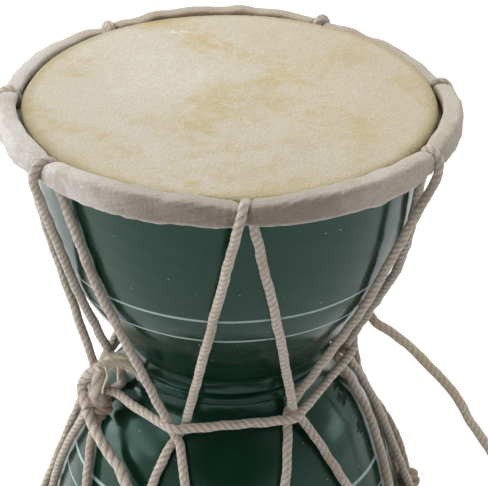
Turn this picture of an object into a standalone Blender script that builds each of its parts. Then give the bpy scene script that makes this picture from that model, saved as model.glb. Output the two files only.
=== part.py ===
"""Damaru: an hourglass hand drum of turned wood, with two skins laced together by one rope.

Metres, +Z up. The drum stands on the lap of its lower skin, with the origin under its middle.
Azimuth is counted from -Y, the side that faces the player, and grows towards +X.
"""

import math

import bmesh
import bpy
import numpy as np
from mathutils import Matrix, Vector

MM = 0.001
CLEARANCE = 0.3 * MM  # what touching pieces keep between them

# Turned shell: two bowls on a short neck
HALF_HEIGHT = 106.4 * MM  # from the middle of the waist to the face of a skin
NECK_RADIUS = 38.0 * MM
BEAD_RADIUS = 39.6 * MM  # the turned bead round the middle of the neck
BEAD_HALF_HEIGHT = 1.9 * MM
BOWL_FOOT_RADIUS = 39.6 * MM  # where a bowl starts from the neck
BOWL_FOOT_HEIGHT = 9.7 * MM  # from the middle of the waist
SHOULDER_RADIUS = 64.35 * MM  # where the bowl turns from its foot to its wall
SHOULDER_HEIGHT = 51.0 * MM
RIM_RADIUS = 74.0 * MM
RIM_LAND = 6.0 * MM  # width of the edge that the skin lies on
FOOT_FLARE = 0.82  # radius gained for each unit of height at the bowl's foot
SHOULDER_FLARE = 0.30
RIM_FLARE = 0.09
WALL = 7.0 * MM
BORE_RADIUS = 15.0 * MM  # the hole that joins the two bowls inside the neck
BOWL_FLOOR_HEIGHT = 19.0 * MM  # from the middle of the waist to the bowl's inner floor
TURN_STEPS = 44  # of the shell, the skins and the hoops

# Skins and the cane hoops that they are lapped round
SKIN = 0.6 * MM
ROPE_DIAMETER = 3.5 * MM
HOOP_WIDTH = 2.2 * MM
HOOP_HEIGHT = 3.4 * MM
LAP_TOP = HALF_HEIGHT - 0.9 * MM  # the lap's crest where the rope pulls it down
LAP_BOTTOM = HALF_HEIGHT - 6.6 * MM
LAP_TUCK = 1.7 * MM  # how far the tucked end reaches below the hoop's top
LAP_CORNER = 1.3 * MM
LAP_RISE = 4.1 * MM  # how far the lap springs up between two lacing points
LAP_BULGE = 1.6 * MM  # and outwards
LAP_POWER = 0.45  # the lap is full again close beside the rope, which bites into it
HOOP_POWER = 1.3  # the cane bends in a longer curve
LAP_FLAT = 0.4 * MM  # what is cut off the highest crests, flat, for the drum to stand on
STAND_HEIGHT = LAP_TOP + LAP_RISE - LAP_FLAT  # from the waist to the floor

# Lacing: azimuths of the points where the rope goes round the upper and the lower hoop
TOP_POINTS = (3.7, 59.3, 104.0, 153.6, 216.2, 266.0, 309.3)
BOTTOM_POINTS = (2.6, 62.0, 99.0, 153.6, 216.2, 266.0, 319.0)
ROPE_GAP = 0.45 * MM  # between two crossing stretches, and to the shell
# How far the rope steps sideways, each way, as it goes over a hoop at each of its points
TOP_SLANTS = (2.8 * MM, 2.0 * MM, 1.3 * MM, 1.3 * MM, 1.3 * MM, 1.3 * MM, 1.6 * MM)
BOTTOM_SLANT = 1.3 * MM
# Upper lap: how low the rope pulls its hoop at each point, and how much of its spring and bulge is
# left in the span that follows (the back has been beaten flatter than the front)
TOP_SINKS = (0.0, 0.0, 3.2 * MM, 1.4 * MM, 1.4 * MM, 0.9 * MM, 0.0)
TOP_SPRINGS = (1.0, 1.0, 0.1, 0.65, 0.5, 1.0, 1.0)
GATHER_HALF = 2.2 * MM  # half of the stretch that runs upright through a crossing
RUN_STEPS = 24
RUN_KEEP = 4  # every fourth point of a tight run is kept
RUN_SAG = 0.35 * MM  # how far a kept stretch cuts below the curve that it stands for

# Crossings, where the waist cord draws two stretches of lacing together: azimuth, the waist cord's
# distance from the axis, and its height from the middle of the waist
CROSSINGS = (
    (33.5, 50.2 * MM, -5.0 * MM),
    (88.0, 50.2 * MM, 1.0 * MM),
    (130.5, 50.2 * MM, 0.0),
    (184.5, 50.2 * MM, 0.0),
    (231.0, 50.2 * MM, -3.0 * MM),
    (290.0, 51.0 * MM, -8.5 * MM),
    (339.5, 52.5 * MM, -6.0 * MM),
)
KNOT_CROSSING = 5  # the crossing that the big knot sits on

# Knot that ties the rope's ends and the waist cord's ends
KNOT_RADIUS = 5.4 * MM
KNOT_LENGTH = 18.0 * MM
KNOT_TURNS = 3
KNOT_REACH = 54.2 * MM  # from the drum's axis to the knot's
KNOT_AZIMUTH = 292.0
KNOT_HEIGHT = -9.5 * MM  # of its middle, from the middle of the waist
FRAY_END_RADIUS = 3.4 * MM

# Strikers: short cords that end in a knot and are flung against the skins
STRIKER_DIAMETER = 4.4 * MM
STRIKER_KNOT_RADIUS = 4.8 * MM
STRIKER_KNOT_LENGTH = 11.0 * MM
HITCH_THICKNESS = 2.6 * MM
STRIKER_OUT = 56.6 * MM  # from the axis to the right striker, behind the lacing
HITCH_AZIMUTH = 118.0

# Loose end of the waist cord
LOOSE_KNOT_RADIUS = 3.9 * MM
LOOSE_KNOT_LENGTH = 9.5 * MM

COLOURS = {
    "paint": (0.030, 0.062, 0.050),
    "skin": (0.64, 0.58, 0.46),
    "cane": (0.45, 0.33, 0.18),
    "rope": (0.50, 0.45, 0.39),
}


def place(radius, azimuth, height):
    """The point at a distance from the axis, an azimuth in degrees and a height from the waist."""
    turn = math.radians(azimuth)
    return np.array([radius * math.sin(turn), -radius * math.cos(turn), height + STAND_HEIGHT])


def outward(azimuth):
    """Unit vector away from the axis."""
    return place(1.0, azimuth, -STAND_HEIGHT)


def sideways(azimuth):
    """Unit vector along the drum's round, towards growing azimuth."""
    return outward(azimuth + 90.0)


def make_material(name, colour, roughness):
    """A plain Principled material."""
    material = bpy.data.materials.new(name)
    material.use_nodes = True
    shader = material.node_tree.nodes["Principled BSDF"]
    shader.inputs["Base Color"].default_value = (*colour, 1.0)
    shader.inputs["Roughness"].default_value = roughness
    shader.inputs["Metallic"].default_value = 0.0
    return material


def add_object(name, data, material, collection):
    """Puts a mesh or curve in the scene under a name, with one material."""
    part = bpy.data.objects.new(name, data)
    if material is not None:
        data.materials.append(material)
    collection.objects.link(part)
    return part


def bake(source, name, material, collection):
    """A new mesh object with what a curve or a modified mesh evaluates to, in place of it."""
    depsgraph = bpy.context.evaluated_depsgraph_get()
    mesh = bpy.data.meshes.new_from_object(source.evaluated_get(depsgraph))
    mesh.transform(source.matrix_world)
    build = bmesh.new()
    build.from_mesh(mesh)
    bmesh.ops.remove_doubles(build, verts=build.verts, dist=1e-6)
    build.to_mesh(mesh)
    build.free()
    mesh.materials.clear()
    bpy.data.objects.remove(source)
    return add_object(name, mesh, material, collection)


def turned(name, profile, steps, closed, material, collection):
    """A profile of (radius, height) points, spun round the upright axis."""
    mesh = bpy.data.meshes.new(name)
    points = [(radius, 0.0, height) for radius, height in profile]
    edges = [(i, i + 1) for i in range(len(points) - 1)]
    if closed:
        edges.append((len(points) - 1, 0))
    mesh.from_pydata(points, edges, [])
    part = add_object(name, mesh, material, collection)
    spin = part.modifiers.new("spin", "SCREW")
    spin.axis = "Z"
    spin.angle = math.tau
    spin.steps = steps
    spin.render_steps = steps
    spin.use_merge_vertices = True
    spin.merge_threshold = 1e-5
    spin.use_smooth_shade = True
    return part


def tube(name, points, diameter, resolution, material, collection, swell=None):
    """A round cord along points, with closed ends. swell scales its radius at each point."""
    curve = bpy.data.curves.new(name, "CURVE")
    curve.dimensions = "3D"
    curve.bevel_depth = diameter / 2.0
    curve.bevel_resolution = resolution
    curve.use_fill_caps = True
    curve.render_resolution_u = 0
    line = curve.splines.new("POLY")
    line.points.add(len(points) - 1)
    for i, point in enumerate(points):
        line.points[i].co = (*point, 1.0)
        if swell is not None:
            line.points[i].radius = swell[i]
    return add_object(name, curve, material, collection)


def bezier(start, start_handle, end_handle, end, count):
    """Points of a cubic curve, without its last one."""
    t = np.linspace(0.0, 1.0, count, endpoint=False)[:, None]
    ends = np.array([start, start_handle, end_handle, end])
    return (
        (1 - t) ** 3 * ends[0]
        + 3 * (1 - t) ** 2 * t * ends[1]
        + 3 * (1 - t) * t**2 * ends[2]
        + t**3 * ends[3]
    )


def bowl_outline():
    """Outer (radius, height) points of the upper half, from the neck's middle up to the rim."""
    neck = [
        (BEAD_RADIUS, 0.0),
        (BEAD_RADIUS - 0.5 * MM, 0.6 * BEAD_HALF_HEIGHT),
        (NECK_RADIUS, BEAD_HALF_HEIGHT),
        (NECK_RADIUS, BOWL_FOOT_HEIGHT - 2.2 * MM),
        (0.5 * (NECK_RADIUS + BOWL_FOOT_RADIUS), BOWL_FOOT_HEIGHT - 0.6 * MM),
    ]
    foot_handle = 18.0 * MM
    below = 10.0 * MM
    above = 16.0 * MM
    rim_handle = 18.0 * MM
    rim_height = shell_top()
    foot = bezier(
        (BOWL_FOOT_RADIUS, BOWL_FOOT_HEIGHT),
        (BOWL_FOOT_RADIUS + FOOT_FLARE * foot_handle, BOWL_FOOT_HEIGHT + foot_handle),
        (SHOULDER_RADIUS - SHOULDER_FLARE * below, SHOULDER_HEIGHT - below),
        (SHOULDER_RADIUS, SHOULDER_HEIGHT),
        6,
    )
    wall = bezier(
        (SHOULDER_RADIUS, SHOULDER_HEIGHT),
        (SHOULDER_RADIUS + SHOULDER_FLARE * above, SHOULDER_HEIGHT + above),
        (RIM_RADIUS - RIM_FLARE * rim_handle, rim_height - rim_handle),
        (RIM_RADIUS, rim_height - 0.8 * MM),
        5,
    )
    edge = [(RIM_RADIUS, rim_height - 0.8 * MM), (RIM_RADIUS - 0.6 * MM, rim_height)]
    return neck + [tuple(p) for p in foot] + [tuple(p) for p in wall] + edge


def shell_top():
    """Height of the shell's rim from the waist: the skin lies over it."""
    return HALF_HEIGHT - SKIN - CLEARANCE


def bowl_inside():
    """Inner (radius, height) points of the upper half, from the rim down to the bore."""
    rim_height = shell_top()
    return [
        (RIM_RADIUS - RIM_LAND, rim_height - 0.4 * MM),
        (RIM_RADIUS - WALL - 0.6 * MM, rim_height - 8.0 * MM),
        (SHOULDER_RADIUS - WALL + 3.0 * MM, SHOULDER_HEIGHT + 18.0 * MM),
        (SHOULDER_RADIUS - WALL - 1.5 * MM, SHOULDER_HEIGHT),
        (SHOULDER_RADIUS - WALL - 12.0 * MM, SHOULDER_HEIGHT - 17.0 * MM),
        (0.5 * (SHOULDER_RADIUS - WALL), BOWL_FLOOR_HEIGHT + 3.5 * MM),
        (BORE_RADIUS + 2.0 * MM, BOWL_FLOOR_HEIGHT),
        (BORE_RADIUS, BOWL_FLOOR_HEIGHT - 2.5 * MM),
    ]


def lifted(profile):
    """The same profile with its heights counted from the floor."""
    return [(radius, height + STAND_HEIGHT) for radius, height in profile]


def mirrored(profile):
    """The same profile on the lower half, in the order that keeps its outer side outwards."""
    return [(radius, -height) for radius, height in reversed(profile)]


def make_shell(material, collection):
    """The wooden body, open at both ends and bored through the neck."""
    outer = bowl_outline()
    inner = bowl_inside()
    upper = list(reversed(outer))
    lower = [(radius, -height) for radius, height in outer[1:]]
    inner_up = [(radius, -height) for radius, height in inner]
    inner_down = list(reversed(inner))
    profile = lifted(upper + lower + inner_up + inner_down)
    return turned("shell", profile, TURN_STEPS, True, material, collection)


def skin_leg_radius():
    """Outer face of the skin's leg that goes down between shell and rope."""
    return RIM_RADIUS + CLEARANCE + SKIN


def hoop_inner_radius():
    """The rope passes between the skin's leg and the hoop."""
    return skin_leg_radius() + ROPE_DIAMETER + 2.5 * CLEARANCE


def hoop_bottom():
    """Lower face of the hoop, inside the lap."""
    return LAP_BOTTOM + SKIN + CLEARANCE


def head_profile():
    """Closed outline of a skin with its lap: face, leg, round the hoop, and the tucked end."""
    leg_out = skin_leg_radius()
    leg_in = RIM_RADIUS + CLEARANCE
    face_in = HALF_HEIGHT - SKIN
    hollow_out = hoop_inner_radius() + HOOP_WIDTH + CLEARANCE
    outer = hollow_out + SKIN
    floor = LAP_BOTTOM + SKIN
    ceiling = LAP_TOP - SKIN
    tuck_out = hoop_inner_radius() - 2.2 * MM
    tuck_in = tuck_out - SKIN
    tuck_end = ceiling - LAP_TUCK
    corner = LAP_CORNER
    return [
        (0.0, HALF_HEIGHT),
        (leg_out - 1.7 * MM, HALF_HEIGHT),
        (leg_out - 0.5 * MM, HALF_HEIGHT - 0.35 * MM),
        (leg_out, HALF_HEIGHT - 1.1 * MM),
        (leg_out, floor),
        (hollow_out - 0.5 * MM, floor),
        (hollow_out, floor + 0.5 * MM),
        (hollow_out, ceiling - 0.6 * MM),
        (hollow_out - 0.6 * MM, ceiling),
        (tuck_out, ceiling),
        (tuck_out, tuck_end),
        (tuck_in, tuck_end),
        (tuck_in, LAP_TOP - 0.6 * MM),
        (tuck_in + 0.9 * MM, LAP_TOP),
        (outer - 1.9 * MM, LAP_TOP),
        (outer - 0.5 * MM, LAP_TOP - 0.45 * corner),
        (outer, LAP_TOP - corner - 0.5 * MM),
        (outer, LAP_BOTTOM + corner),
        (outer - corner, LAP_BOTTOM),
        (leg_out, LAP_BOTTOM),
        (leg_in, LAP_BOTTOM + 0.5 * MM),
        (leg_in, face_in - 0.5 * MM),
        (leg_in - 0.5 * MM, face_in),
        (0.0, face_in),
    ]


def hoop_profile():
    """Section of the cane hoop, its outer side running top to bottom."""
    inner = hoop_inner_radius()
    outer = inner + HOOP_WIDTH
    low = hoop_bottom()
    top = low + HOOP_HEIGHT
    soft = 0.5 * MM
    return [
        (outer - soft, top),
        (outer, top - soft),
        (outer, low + soft),
        (outer - soft, low),
        (inner, low),
        (inner, top),
    ]


def lacing_points(side):
    """Azimuths of the lacing points on a hoop: +1 is the upper one, -1 the lower one."""
    return TOP_POINTS if side > 0 else BOTTOM_POINTS


def span_at(azimuth, side):
    """The lacing point before an azimuth, and the share of the way to the next one."""
    points = lacing_points(side)
    points = points + (points[0] + 360.0,)
    azimuth = (azimuth - points[0]) % 360.0 + points[0]
    for index, (low, high) in enumerate(zip(points, points[1:])):
        if low <= azimuth <= high:
            return index, (azimuth - low) / (high - low)
    return 0, 0.0


def spring(azimuth, side, power):
    """0 at a lacing point and 1 midway between two: how far a lap or hoop springs back between them."""
    index, share = span_at(azimuth, side)
    left = TOP_SPRINGS[index] if side > 0 else 1.0
    return left * math.sin(math.pi * share) ** power


def sink(azimuth, side):
    """How far the upper lap and hoop are pulled down at an azimuth; the lower ones aren't."""
    if side < 0:
        return 0.0
    index, share = span_at(azimuth, side)
    blend = share * share * (3.0 - 2.0 * share)
    return TOP_SINKS[index] * (1.0 - blend) + TOP_SINKS[(index + 1) % len(TOP_SINKS)] * blend


def spring_lap(part, side):
    """Lifts and bulges a lap between its lacing points, and cuts its crests flat. side is +1 or -1."""
    leg = skin_leg_radius() + 0.05 * MM
    foot = LAP_BOTTOM + 2.0 * SKIN
    for vertex in part.data.vertices:
        x, y, z = vertex.co
        radius = math.hypot(x, y)
        height = side * (z - STAND_HEIGHT)
        if radius <= leg and height > foot:
            continue
        azimuth = math.degrees(math.atan2(x, -y))
        amount = spring(azimuth, side, LAP_POWER) if radius > leg else 0.0
        share = max(0.0, height - LAP_BOTTOM - SKIN) / (LAP_TOP - LAP_BOTTOM - SKIN)
        reach = (radius - leg) / (hoop_inner_radius() + HOOP_WIDTH - leg)
        height = min(height + LAP_RISE * amount * share, STAND_HEIGHT) - sink(azimuth, side)
        scale = 1.0 + LAP_BULGE * amount * min(reach, 1.0) / radius
        vertex.co = (x * scale, y * scale, side * height + STAND_HEIGHT)


def spring_hoop(part, side):
    """Lifts and bulges a hoop with its lap, keeping its section."""
    for vertex in part.data.vertices:
        x, y, z = vertex.co
        radius = math.hypot(x, y)
        azimuth = math.degrees(math.atan2(x, -y))
        amount = spring(azimuth, side, HOOP_POWER)
        scale = 1.0 + (LAP_BULGE - CLEARANCE) * amount / radius
        lift = 0.45 * LAP_RISE * amount - sink(azimuth, side)
        vertex.co = (x * scale, y * scale, z + side * lift)


def make_hoop(name, side, material, collection):
    """A cane hoop, upper or lower."""
    profile = hoop_profile() if side > 0 else mirrored(hoop_profile())
    hoop = turned(name, lifted(profile), TURN_STEPS, True, material, collection)
    hoop = bake(hoop, name, material, collection)
    spring_hoop(hoop, side)
    return hoop


def loop_path(azimuth, side):
    """The rope's middle line round a hoop: up the outer face, over the lap and down inside it."""
    rope = ROPE_DIAMETER / 2.0
    outside = hoop_inner_radius() + HOOP_WIDTH + CLEARANCE + SKIN + CLEARANCE + rope
    inside = skin_leg_radius() + CLEARANCE + rope
    crest = STAND_HEIGHT - 0.05 * MM - rope
    path = [
        (outside, LAP_BOTTOM - 0.8 * MM),
        (outside, LAP_TOP - 2.7 * MM),
        (outside - 0.8 * MM, LAP_TOP - 0.5 * MM),
        (outside - 2.5 * MM, crest - 0.9 * MM),
        (outside - 4.5 * MM, crest - 0.2 * MM),
        (inside + 1.35 * MM, crest - 0.7 * MM),
        (inside + 0.3 * MM, crest - 2.2 * MM),
        (inside, crest - 4.0 * MM),
        (inside, LAP_BOTTOM - 1.2 * MM),
    ]
    slant = BOTTOM_SLANT
    if side > 0:
        slant = TOP_SLANTS[TOP_POINTS.index(azimuth)]
    steps = np.linspace(-slant, slant, len(path))
    low = sink(azimuth, side)
    return [
        place(radius, azimuth, side * (height - low)) + step * sideways(azimuth)
        for (radius, height), step in zip(path, steps)
    ]


def clear_outline(clearance):
    """(height, radius) of the line that a cord's middle may not go inside, for both halves."""
    outline = np.array(bowl_outline())
    slope = np.gradient(outline, axis=0)
    slope /= np.linalg.norm(slope, axis=1)[:, None]
    moved = outline + clearance * np.column_stack([slope[:, 1], -slope[:, 0]])
    moved = moved[np.argsort(moved[:, 1])]
    heights = np.concatenate([-moved[::-1, 1], moved[:, 1]])
    radii = np.concatenate([moved[::-1, 0], moved[:, 0]])
    order = np.argsort(heights)
    return heights[order], radii[order]


def tight_run(start, end):
    """A cord pulled tight from start to end over the shell.

    Each point is drawn to the middle of its neighbours and, where it would be in the wood, pushed out.
    """
    heights, radii = clear_outline(ROPE_DIAMETER / 2.0 + ROPE_GAP + RUN_SAG)
    points = np.linspace(start, end, RUN_STEPS + 1)
    for _ in range(700):
        points[1:-1] = 0.5 * (points[:-2] + points[2:])
        least = np.interp(points[:, 2] - STAND_HEIGHT, heights, radii)
        radius = np.hypot(points[:, 0], points[:, 1])
        push = np.maximum(1.0, least / radius)
        push[0] = push[-1] = 1.0
        points[:, 0] *= push
        points[:, 1] *= push
    return [points[i] for i in range(0, RUN_STEPS + 1, RUN_KEEP)]


def crossing_point(index, depth):
    """Middle of a lacing stretch at a crossing. depth 1 is just behind the waist cord, 2 behind that."""
    azimuth, radius, height = CROSSINGS[index]
    return place(radius - depth * (ROPE_DIAMETER + ROPE_GAP), azimuth, height)


def upright_pair(index, depth, rise, lean):
    """Two points, above and below a crossing, that the rope runs straight through."""
    middle = crossing_point(index, depth)
    azimuth = CROSSINGS[index][0]
    along = rise * np.array([0.0, 0.0, 1.0]) + lean * sideways(azimuth)
    along = along / np.linalg.norm(along)
    return middle + GATHER_HALF * along, middle - GATHER_HALF * along


def lacing_route():
    """The one rope: over a hoop, through a crossing to the other hoop's next point, and so on.

    A stretch leaves a hoop on its inner side and reaches the other hoop on its outer side. Seven
    points on each hoop, an odd number, bring the rope back to its start after going over all fourteen.
    The two ends stop at the big knot.
    """
    count = len(TOP_POINTS)
    (knot_low, previous), (knot_high, last) = knot_ends()
    route = [knot_low, previous]
    point, side = (KNOT_CROSSING + 1) % count, -1
    for step in range(2 * count):
        loop = loop_path(lacing_points(side)[point], side)
        route += tight_run(previous, loop[0])[1:-1] + loop
        if step == 2 * count - 1:
            route += tight_run(loop[-1], last)[1:] + [knot_high]
            break
        depth = 1 if side > 0 else 2
        first, second = upright_pair(point, depth, side, 0.35 * -1.0)
        route += tight_run(loop[-1], first)[1:] + [crossing_point(point, depth), second]
        previous = second
        point, side = (point + 1) % count, -side
    return np.array(route)


def knot_ends():
    """The rope's straight ends at the big knot, below and above it: at the knot, and away from it."""
    reach = KNOT_LENGTH / 2.0 + CLEARANCE
    ends = []
    for side in (-1.0, 1.0):
        at_knot = place(KNOT_REACH, KNOT_AZIMUTH, KNOT_HEIGHT + side * reach)
        ends.append((at_knot, at_knot + side * np.array([0.0, 0.0, ROPE_DIAMETER / 2.0])))
    return ends


def least_gap(points, diameter, skip):
    """The least free space between stretches of one cord that are more than skip apart along it."""
    fine = [points[0]]
    for a, b in zip(points, points[1:]):
        count = max(1, int(math.ceil(np.linalg.norm(b - a) / (0.8 * MM))))
        fine += [a + (b - a) * i / count for i in range(1, count + 1)]
    fine = np.array(fine)
    length = np.concatenate([[0.0], np.cumsum(np.linalg.norm(np.diff(fine, axis=0), axis=1))])
    least = math.inf
    for i in range(0, len(fine), 2):
        far = length > length[i] + skip
        if far.any():
            least = min(least, np.linalg.norm(fine[far] - fine[i], axis=1).min())
    return least - diameter


def waist_route():
    """The waist cord, pulled tight round the crossings, from one side of the big knot to the other."""
    side = KNOT_RADIUS + CLEARANCE
    middle = place(KNOT_REACH, KNOT_AZIMUTH, KNOT_HEIGHT)
    along = sideways(KNOT_AZIMUTH)
    route = [middle + side * along, middle + (side + ROPE_DIAMETER / 2.0) * along]
    count = len(CROSSINGS)
    for step in range(1, count):
        index = (KNOT_CROSSING + step) % count
        azimuth_here, radius, height_here = CROSSINGS[index]
        centre = place(radius, azimuth_here, height_here)
        for shift, inward in ((-5.0, 0.5), (-1.8, 0.0), (1.8, 0.0), (5.0, 0.5)):
            route.append(
                centre + shift * MM * sideways(azimuth_here) - inward * MM * outward(azimuth_here)
            )
    route += [middle - (side + ROPE_DIAMETER / 2.0) * along, middle - side * along]
    return np.array(route)


def smooth_route(points, spacing):
    """Points about a spacing apart on one smooth curve through the route's own points."""
    points = np.array(points)
    before = np.vstack([2 * points[0] - points[1], points[:-1]])
    after = np.vstack([points[1:], 2 * points[-1] - points[-2]])
    slopes = 0.5 * (after - before)
    route = [points[0]]
    for i in range(len(points) - 1):
        count = max(1, round(np.linalg.norm(points[i + 1] - points[i]) / spacing))
        for t in np.arange(1, count + 1) / count:
            route.append(
                (2 * t**3 - 3 * t**2 + 1) * points[i]
                + (t**3 - 2 * t**2 + t) * slopes[i]
                + (3 * t**2 - 2 * t**3) * points[i + 1]
                + (t**3 - t**2) * slopes[i + 1]
            )
    return np.array(route)


def make_knot(name, centre, direction, length, radius, turns, material, collection):
    """A wound knot: turns of cord side by side round an axis, closed at its two ends."""
    per_turn = 4
    profile = [(0.0, length / 2.0), (0.45 * radius, length / 2.0)]
    for turn in range(turns):
        top = length / 2.0 - length * turn / turns
        for step in range(per_turn):
            angle = math.pi * (step + 0.5) / per_turn
            bulge = (0.78 + 0.22 * math.sin(angle)) * radius
            share = (turn + (step + 0.5) / per_turn) / turns
            ends = (1.0 - abs(2.0 * share - 1.0) ** 4) ** 0.5
            height = top - length / turns * (step + 0.5) / per_turn
            profile.append((bulge * (0.45 + 0.55 * ends), height))
    profile += [(0.45 * radius, -length / 2.0), (0.0, -length / 2.0)]
    knot = turned(name, profile, 14, False, material, collection)
    knot.rotation_mode = "QUATERNION"
    knot.rotation_quaternion = Vector(direction).to_track_quat("Z", "Y")
    knot.location = Vector(centre)
    return knot


def along_end(points):
    """Unit vector in which a route leaves its last point."""
    step = points[-1] - points[-2]
    return step / np.linalg.norm(step)


def make_end_knot(name, route, length, radius, material, collection):
    """The knot on the end of a cord, face to face with it."""
    direction = along_end(route)
    centre = route[-1] + (length / 2.0 + CLEARANCE) * direction
    return make_knot(name, centre, direction, length, radius, 2, material, collection)


def left_striker_points():
    """Route of the left striker: from the big knot round the front of the lower bowl, then down."""
    return [
        place(60.1 * MM, 297.5, -12.0 * MM),
        place(59.8 * MM, 300.6, -17.0 * MM),
        place(59.7 * MM, 305.6, -20.6 * MM),
        place(59.2 * MM, 310.3, -24.2 * MM),
        place(59.4 * MM, 314.0, -26.6 * MM),
        place(60.0 * MM, 317.6, -28.4 * MM),
        place(62.2 * MM, 322.6, -31.4 * MM),
        place(65.6 * MM, 325.8, -35.6 * MM),
        place(68.6 * MM, 327.4, -41.4 * MM),
        place(70.4 * MM, 328.2, -48.6 * MM),
        place(71.8 * MM, 328.8, -56.4 * MM),
        place(73.6 * MM, 329.4, -64.6 * MM),
    ]


def hitch_centre():
    """Middle of the waist cord where the right striker is tied round it, and the cord's direction."""
    route = waist_route()
    azimuths = np.degrees(np.arctan2(route[:, 0], -route[:, 1])) % 360.0
    i = int(np.flatnonzero((azimuths[:-1] < HITCH_AZIMUTH) & (azimuths[1:] >= HITCH_AZIMUTH))[0])
    share = (HITCH_AZIMUTH - azimuths[i]) / (azimuths[i + 1] - azimuths[i])
    along = route[i + 1] - route[i]
    return route[i] + share * along, along / np.linalg.norm(along)


def right_striker_points():
    """Route of the right striker: from its hitch down behind the lacing, then out past it."""
    centre, _ = hitch_centre()
    out = outward(HITCH_AZIMUTH)
    ring = ROPE_DIAMETER / 2.0 + CLEARANCE + HITCH_THICKNESS
    start = centre + (ring + CLEARANCE) * out
    return [
        start,
        start + 0.5 * STRIKER_DIAMETER * out,
        place(STRIKER_OUT, HITCH_AZIMUTH - 0.8, -8.0 * MM),
        place(STRIKER_OUT, HITCH_AZIMUTH - 3.0, -17.0 * MM),
        place(58.6 * MM, 112.0, -27.0 * MM),
        place(61.6 * MM, 109.0, -36.0 * MM),
        place(65.6 * MM, 106.2, -46.0 * MM),
        place(69.8 * MM, 104.0, -53.2 * MM),
        place(73.5 * MM, 103.0, -58.0 * MM),
        place(75.9 * MM, 102.3, -64.5 * MM),
        place(78.4 * MM, 102.2, -71.0 * MM),
    ]


def make_hitch(material, collection):
    """The ring of cord by which the right striker is tied round the waist cord."""
    centre, along = hitch_centre()
    middle = ROPE_DIAMETER / 2.0 + CLEARANCE + HITCH_THICKNESS / 2.0
    half = HITCH_THICKNESS / 2.0
    turns = np.arange(0, 8) * math.tau / 8.0
    profile = [(middle + half * math.sin(t), 1.5 * half * math.cos(t)) for t in turns]
    ring = turned("right_striker_hitch", profile, 16, True, material, collection)
    ring.rotation_mode = "QUATERNION"
    ring.rotation_quaternion = Vector(along).to_track_quat("Z", "Y")
    ring.location = Vector(centre)
    return ring


def loose_points():
    """Route of the waist cord's loose end: up from the waist, out, down to the floor and along it."""
    lying = -STAND_HEIGHT + ROPE_DIAMETER / 2.0 + 0.2 * MM
    return [
        place(49.0 * MM, 94.0, 3.4 * MM),
        place(49.4 * MM, 93.6, 7.4 * MM),
        place(51.5 * MM, 92.0, 11.9 * MM),
        place(54.4 * MM, 88.8, 13.7 * MM),
        place(57.6 * MM, 86.0, 11.9 * MM),
        place(66.3 * MM, 85.2, 6.2 * MM),
        place(72.7 * MM, 84.8, 0.5 * MM),
        place(82.2 * MM, 84.2, -9.3 * MM),
        place(88.7 * MM, 83.9, -16.6 * MM),
        place(92.6 * MM, 83.8, -23.4 * MM),
        place(97.9 * MM, 83.5, -32.2 * MM),
        place(103.6 * MM, 83.4, -40.7 * MM),
        place(108.8 * MM, 83.2, -50.4 * MM),
        place(113.3 * MM, 83.3, -62.0 * MM),
        place(116.7 * MM, 83.6, -75.0 * MM),
        place(119.6 * MM, 84.1, -88.0 * MM),
        place(123.4 * MM, 85.1, -99.0 * MM),
        place(129.4 * MM, 86.8, lying + 1.2 * MM),
        place(137.6 * MM, 88.9, lying),
        place(147.0 * MM, 91.2, lying),
        place(156.0 * MM, 93.0, lying),
    ]


def loose_route():
    """The loose end's middle line, no lower than a cord that lies on the floor."""
    route = smooth_route(loose_points(), 6.0 * MM)
    route[:, 2] = np.maximum(route[:, 2], ROPE_DIAMETER / 2.0 + 0.1 * MM)
    return route


def fray_points():
    """Middle line of the cut rope end that stands out of the big knot."""
    top = KNOT_HEIGHT + KNOT_LENGTH / 2.0
    return [
        place(KNOT_REACH - 0.6 * MM, KNOT_AZIMUTH + 4.0, top + 0.3 * MM),
        place(KNOT_REACH - 1.2 * MM, KNOT_AZIMUTH + 4.6, top + 4.0 * MM),
        place(KNOT_REACH - 2.0 * MM, KNOT_AZIMUTH + 7.0, top + 7.4 * MM),
        place(KNOT_REACH - 2.8 * MM, KNOT_AZIMUTH + 11.5, top + 9.4 * MM),
        place(KNOT_REACH - 3.4 * MM, KNOT_AZIMUTH + 16.5, top + 10.4 * MM),
    ]


def slot_cutter(side, collection):
    """One body that clears the rope's way through a lap at every lacing point."""
    build = bmesh.new()
    for azimuth in lacing_points(side):
        path = loop_path(azimuth, side)
        piece = tube("slot", path, ROPE_DIAMETER + 3.2 * CLEARANCE, 2, None, collection)
        piece = bake(piece, "slot_piece", None, collection)
        build.from_mesh(piece.data)
        bpy.data.objects.remove(piece)
    mesh = bpy.data.meshes.new("slots")
    bmesh.ops.recalc_face_normals(build, faces=build.faces)
    build.to_mesh(mesh)
    build.free()
    cutter = add_object("slots_top" if side > 0 else "slots_bottom", mesh, None, collection)
    cutter.hide_render = True
    cutter.display_type = "WIRE"
    return cutter


def make_head(name, side, material, collection, cutters):
    """A skin, upper or lower, with its lap sprung and slotted for the rope."""
    profile = head_profile() if side > 0 else mirrored(head_profile())
    head = turned(name, lifted(profile), TURN_STEPS, False, material, collection)
    head = bake(head, name, material, collection)
    spring_lap(head, side)
    cut = head.modifiers.new("rope slots", "BOOLEAN")
    cut.operation = "DIFFERENCE"
    cut.solver = "EXACT"
    cut.object = slot_cutter(side, cutters)
    return head


def hang_from(name, pivot, pieces, collection):
    """Parents the pieces of a striker to an empty on the axis that it swings about."""
    empty = bpy.data.objects.new(name, None)
    empty.location = Vector(pivot)
    collection.objects.link(empty)
    for piece in pieces:
        piece.parent = empty
        piece.matrix_parent_inverse = Matrix.Translation(-Vector(pivot))


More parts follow.
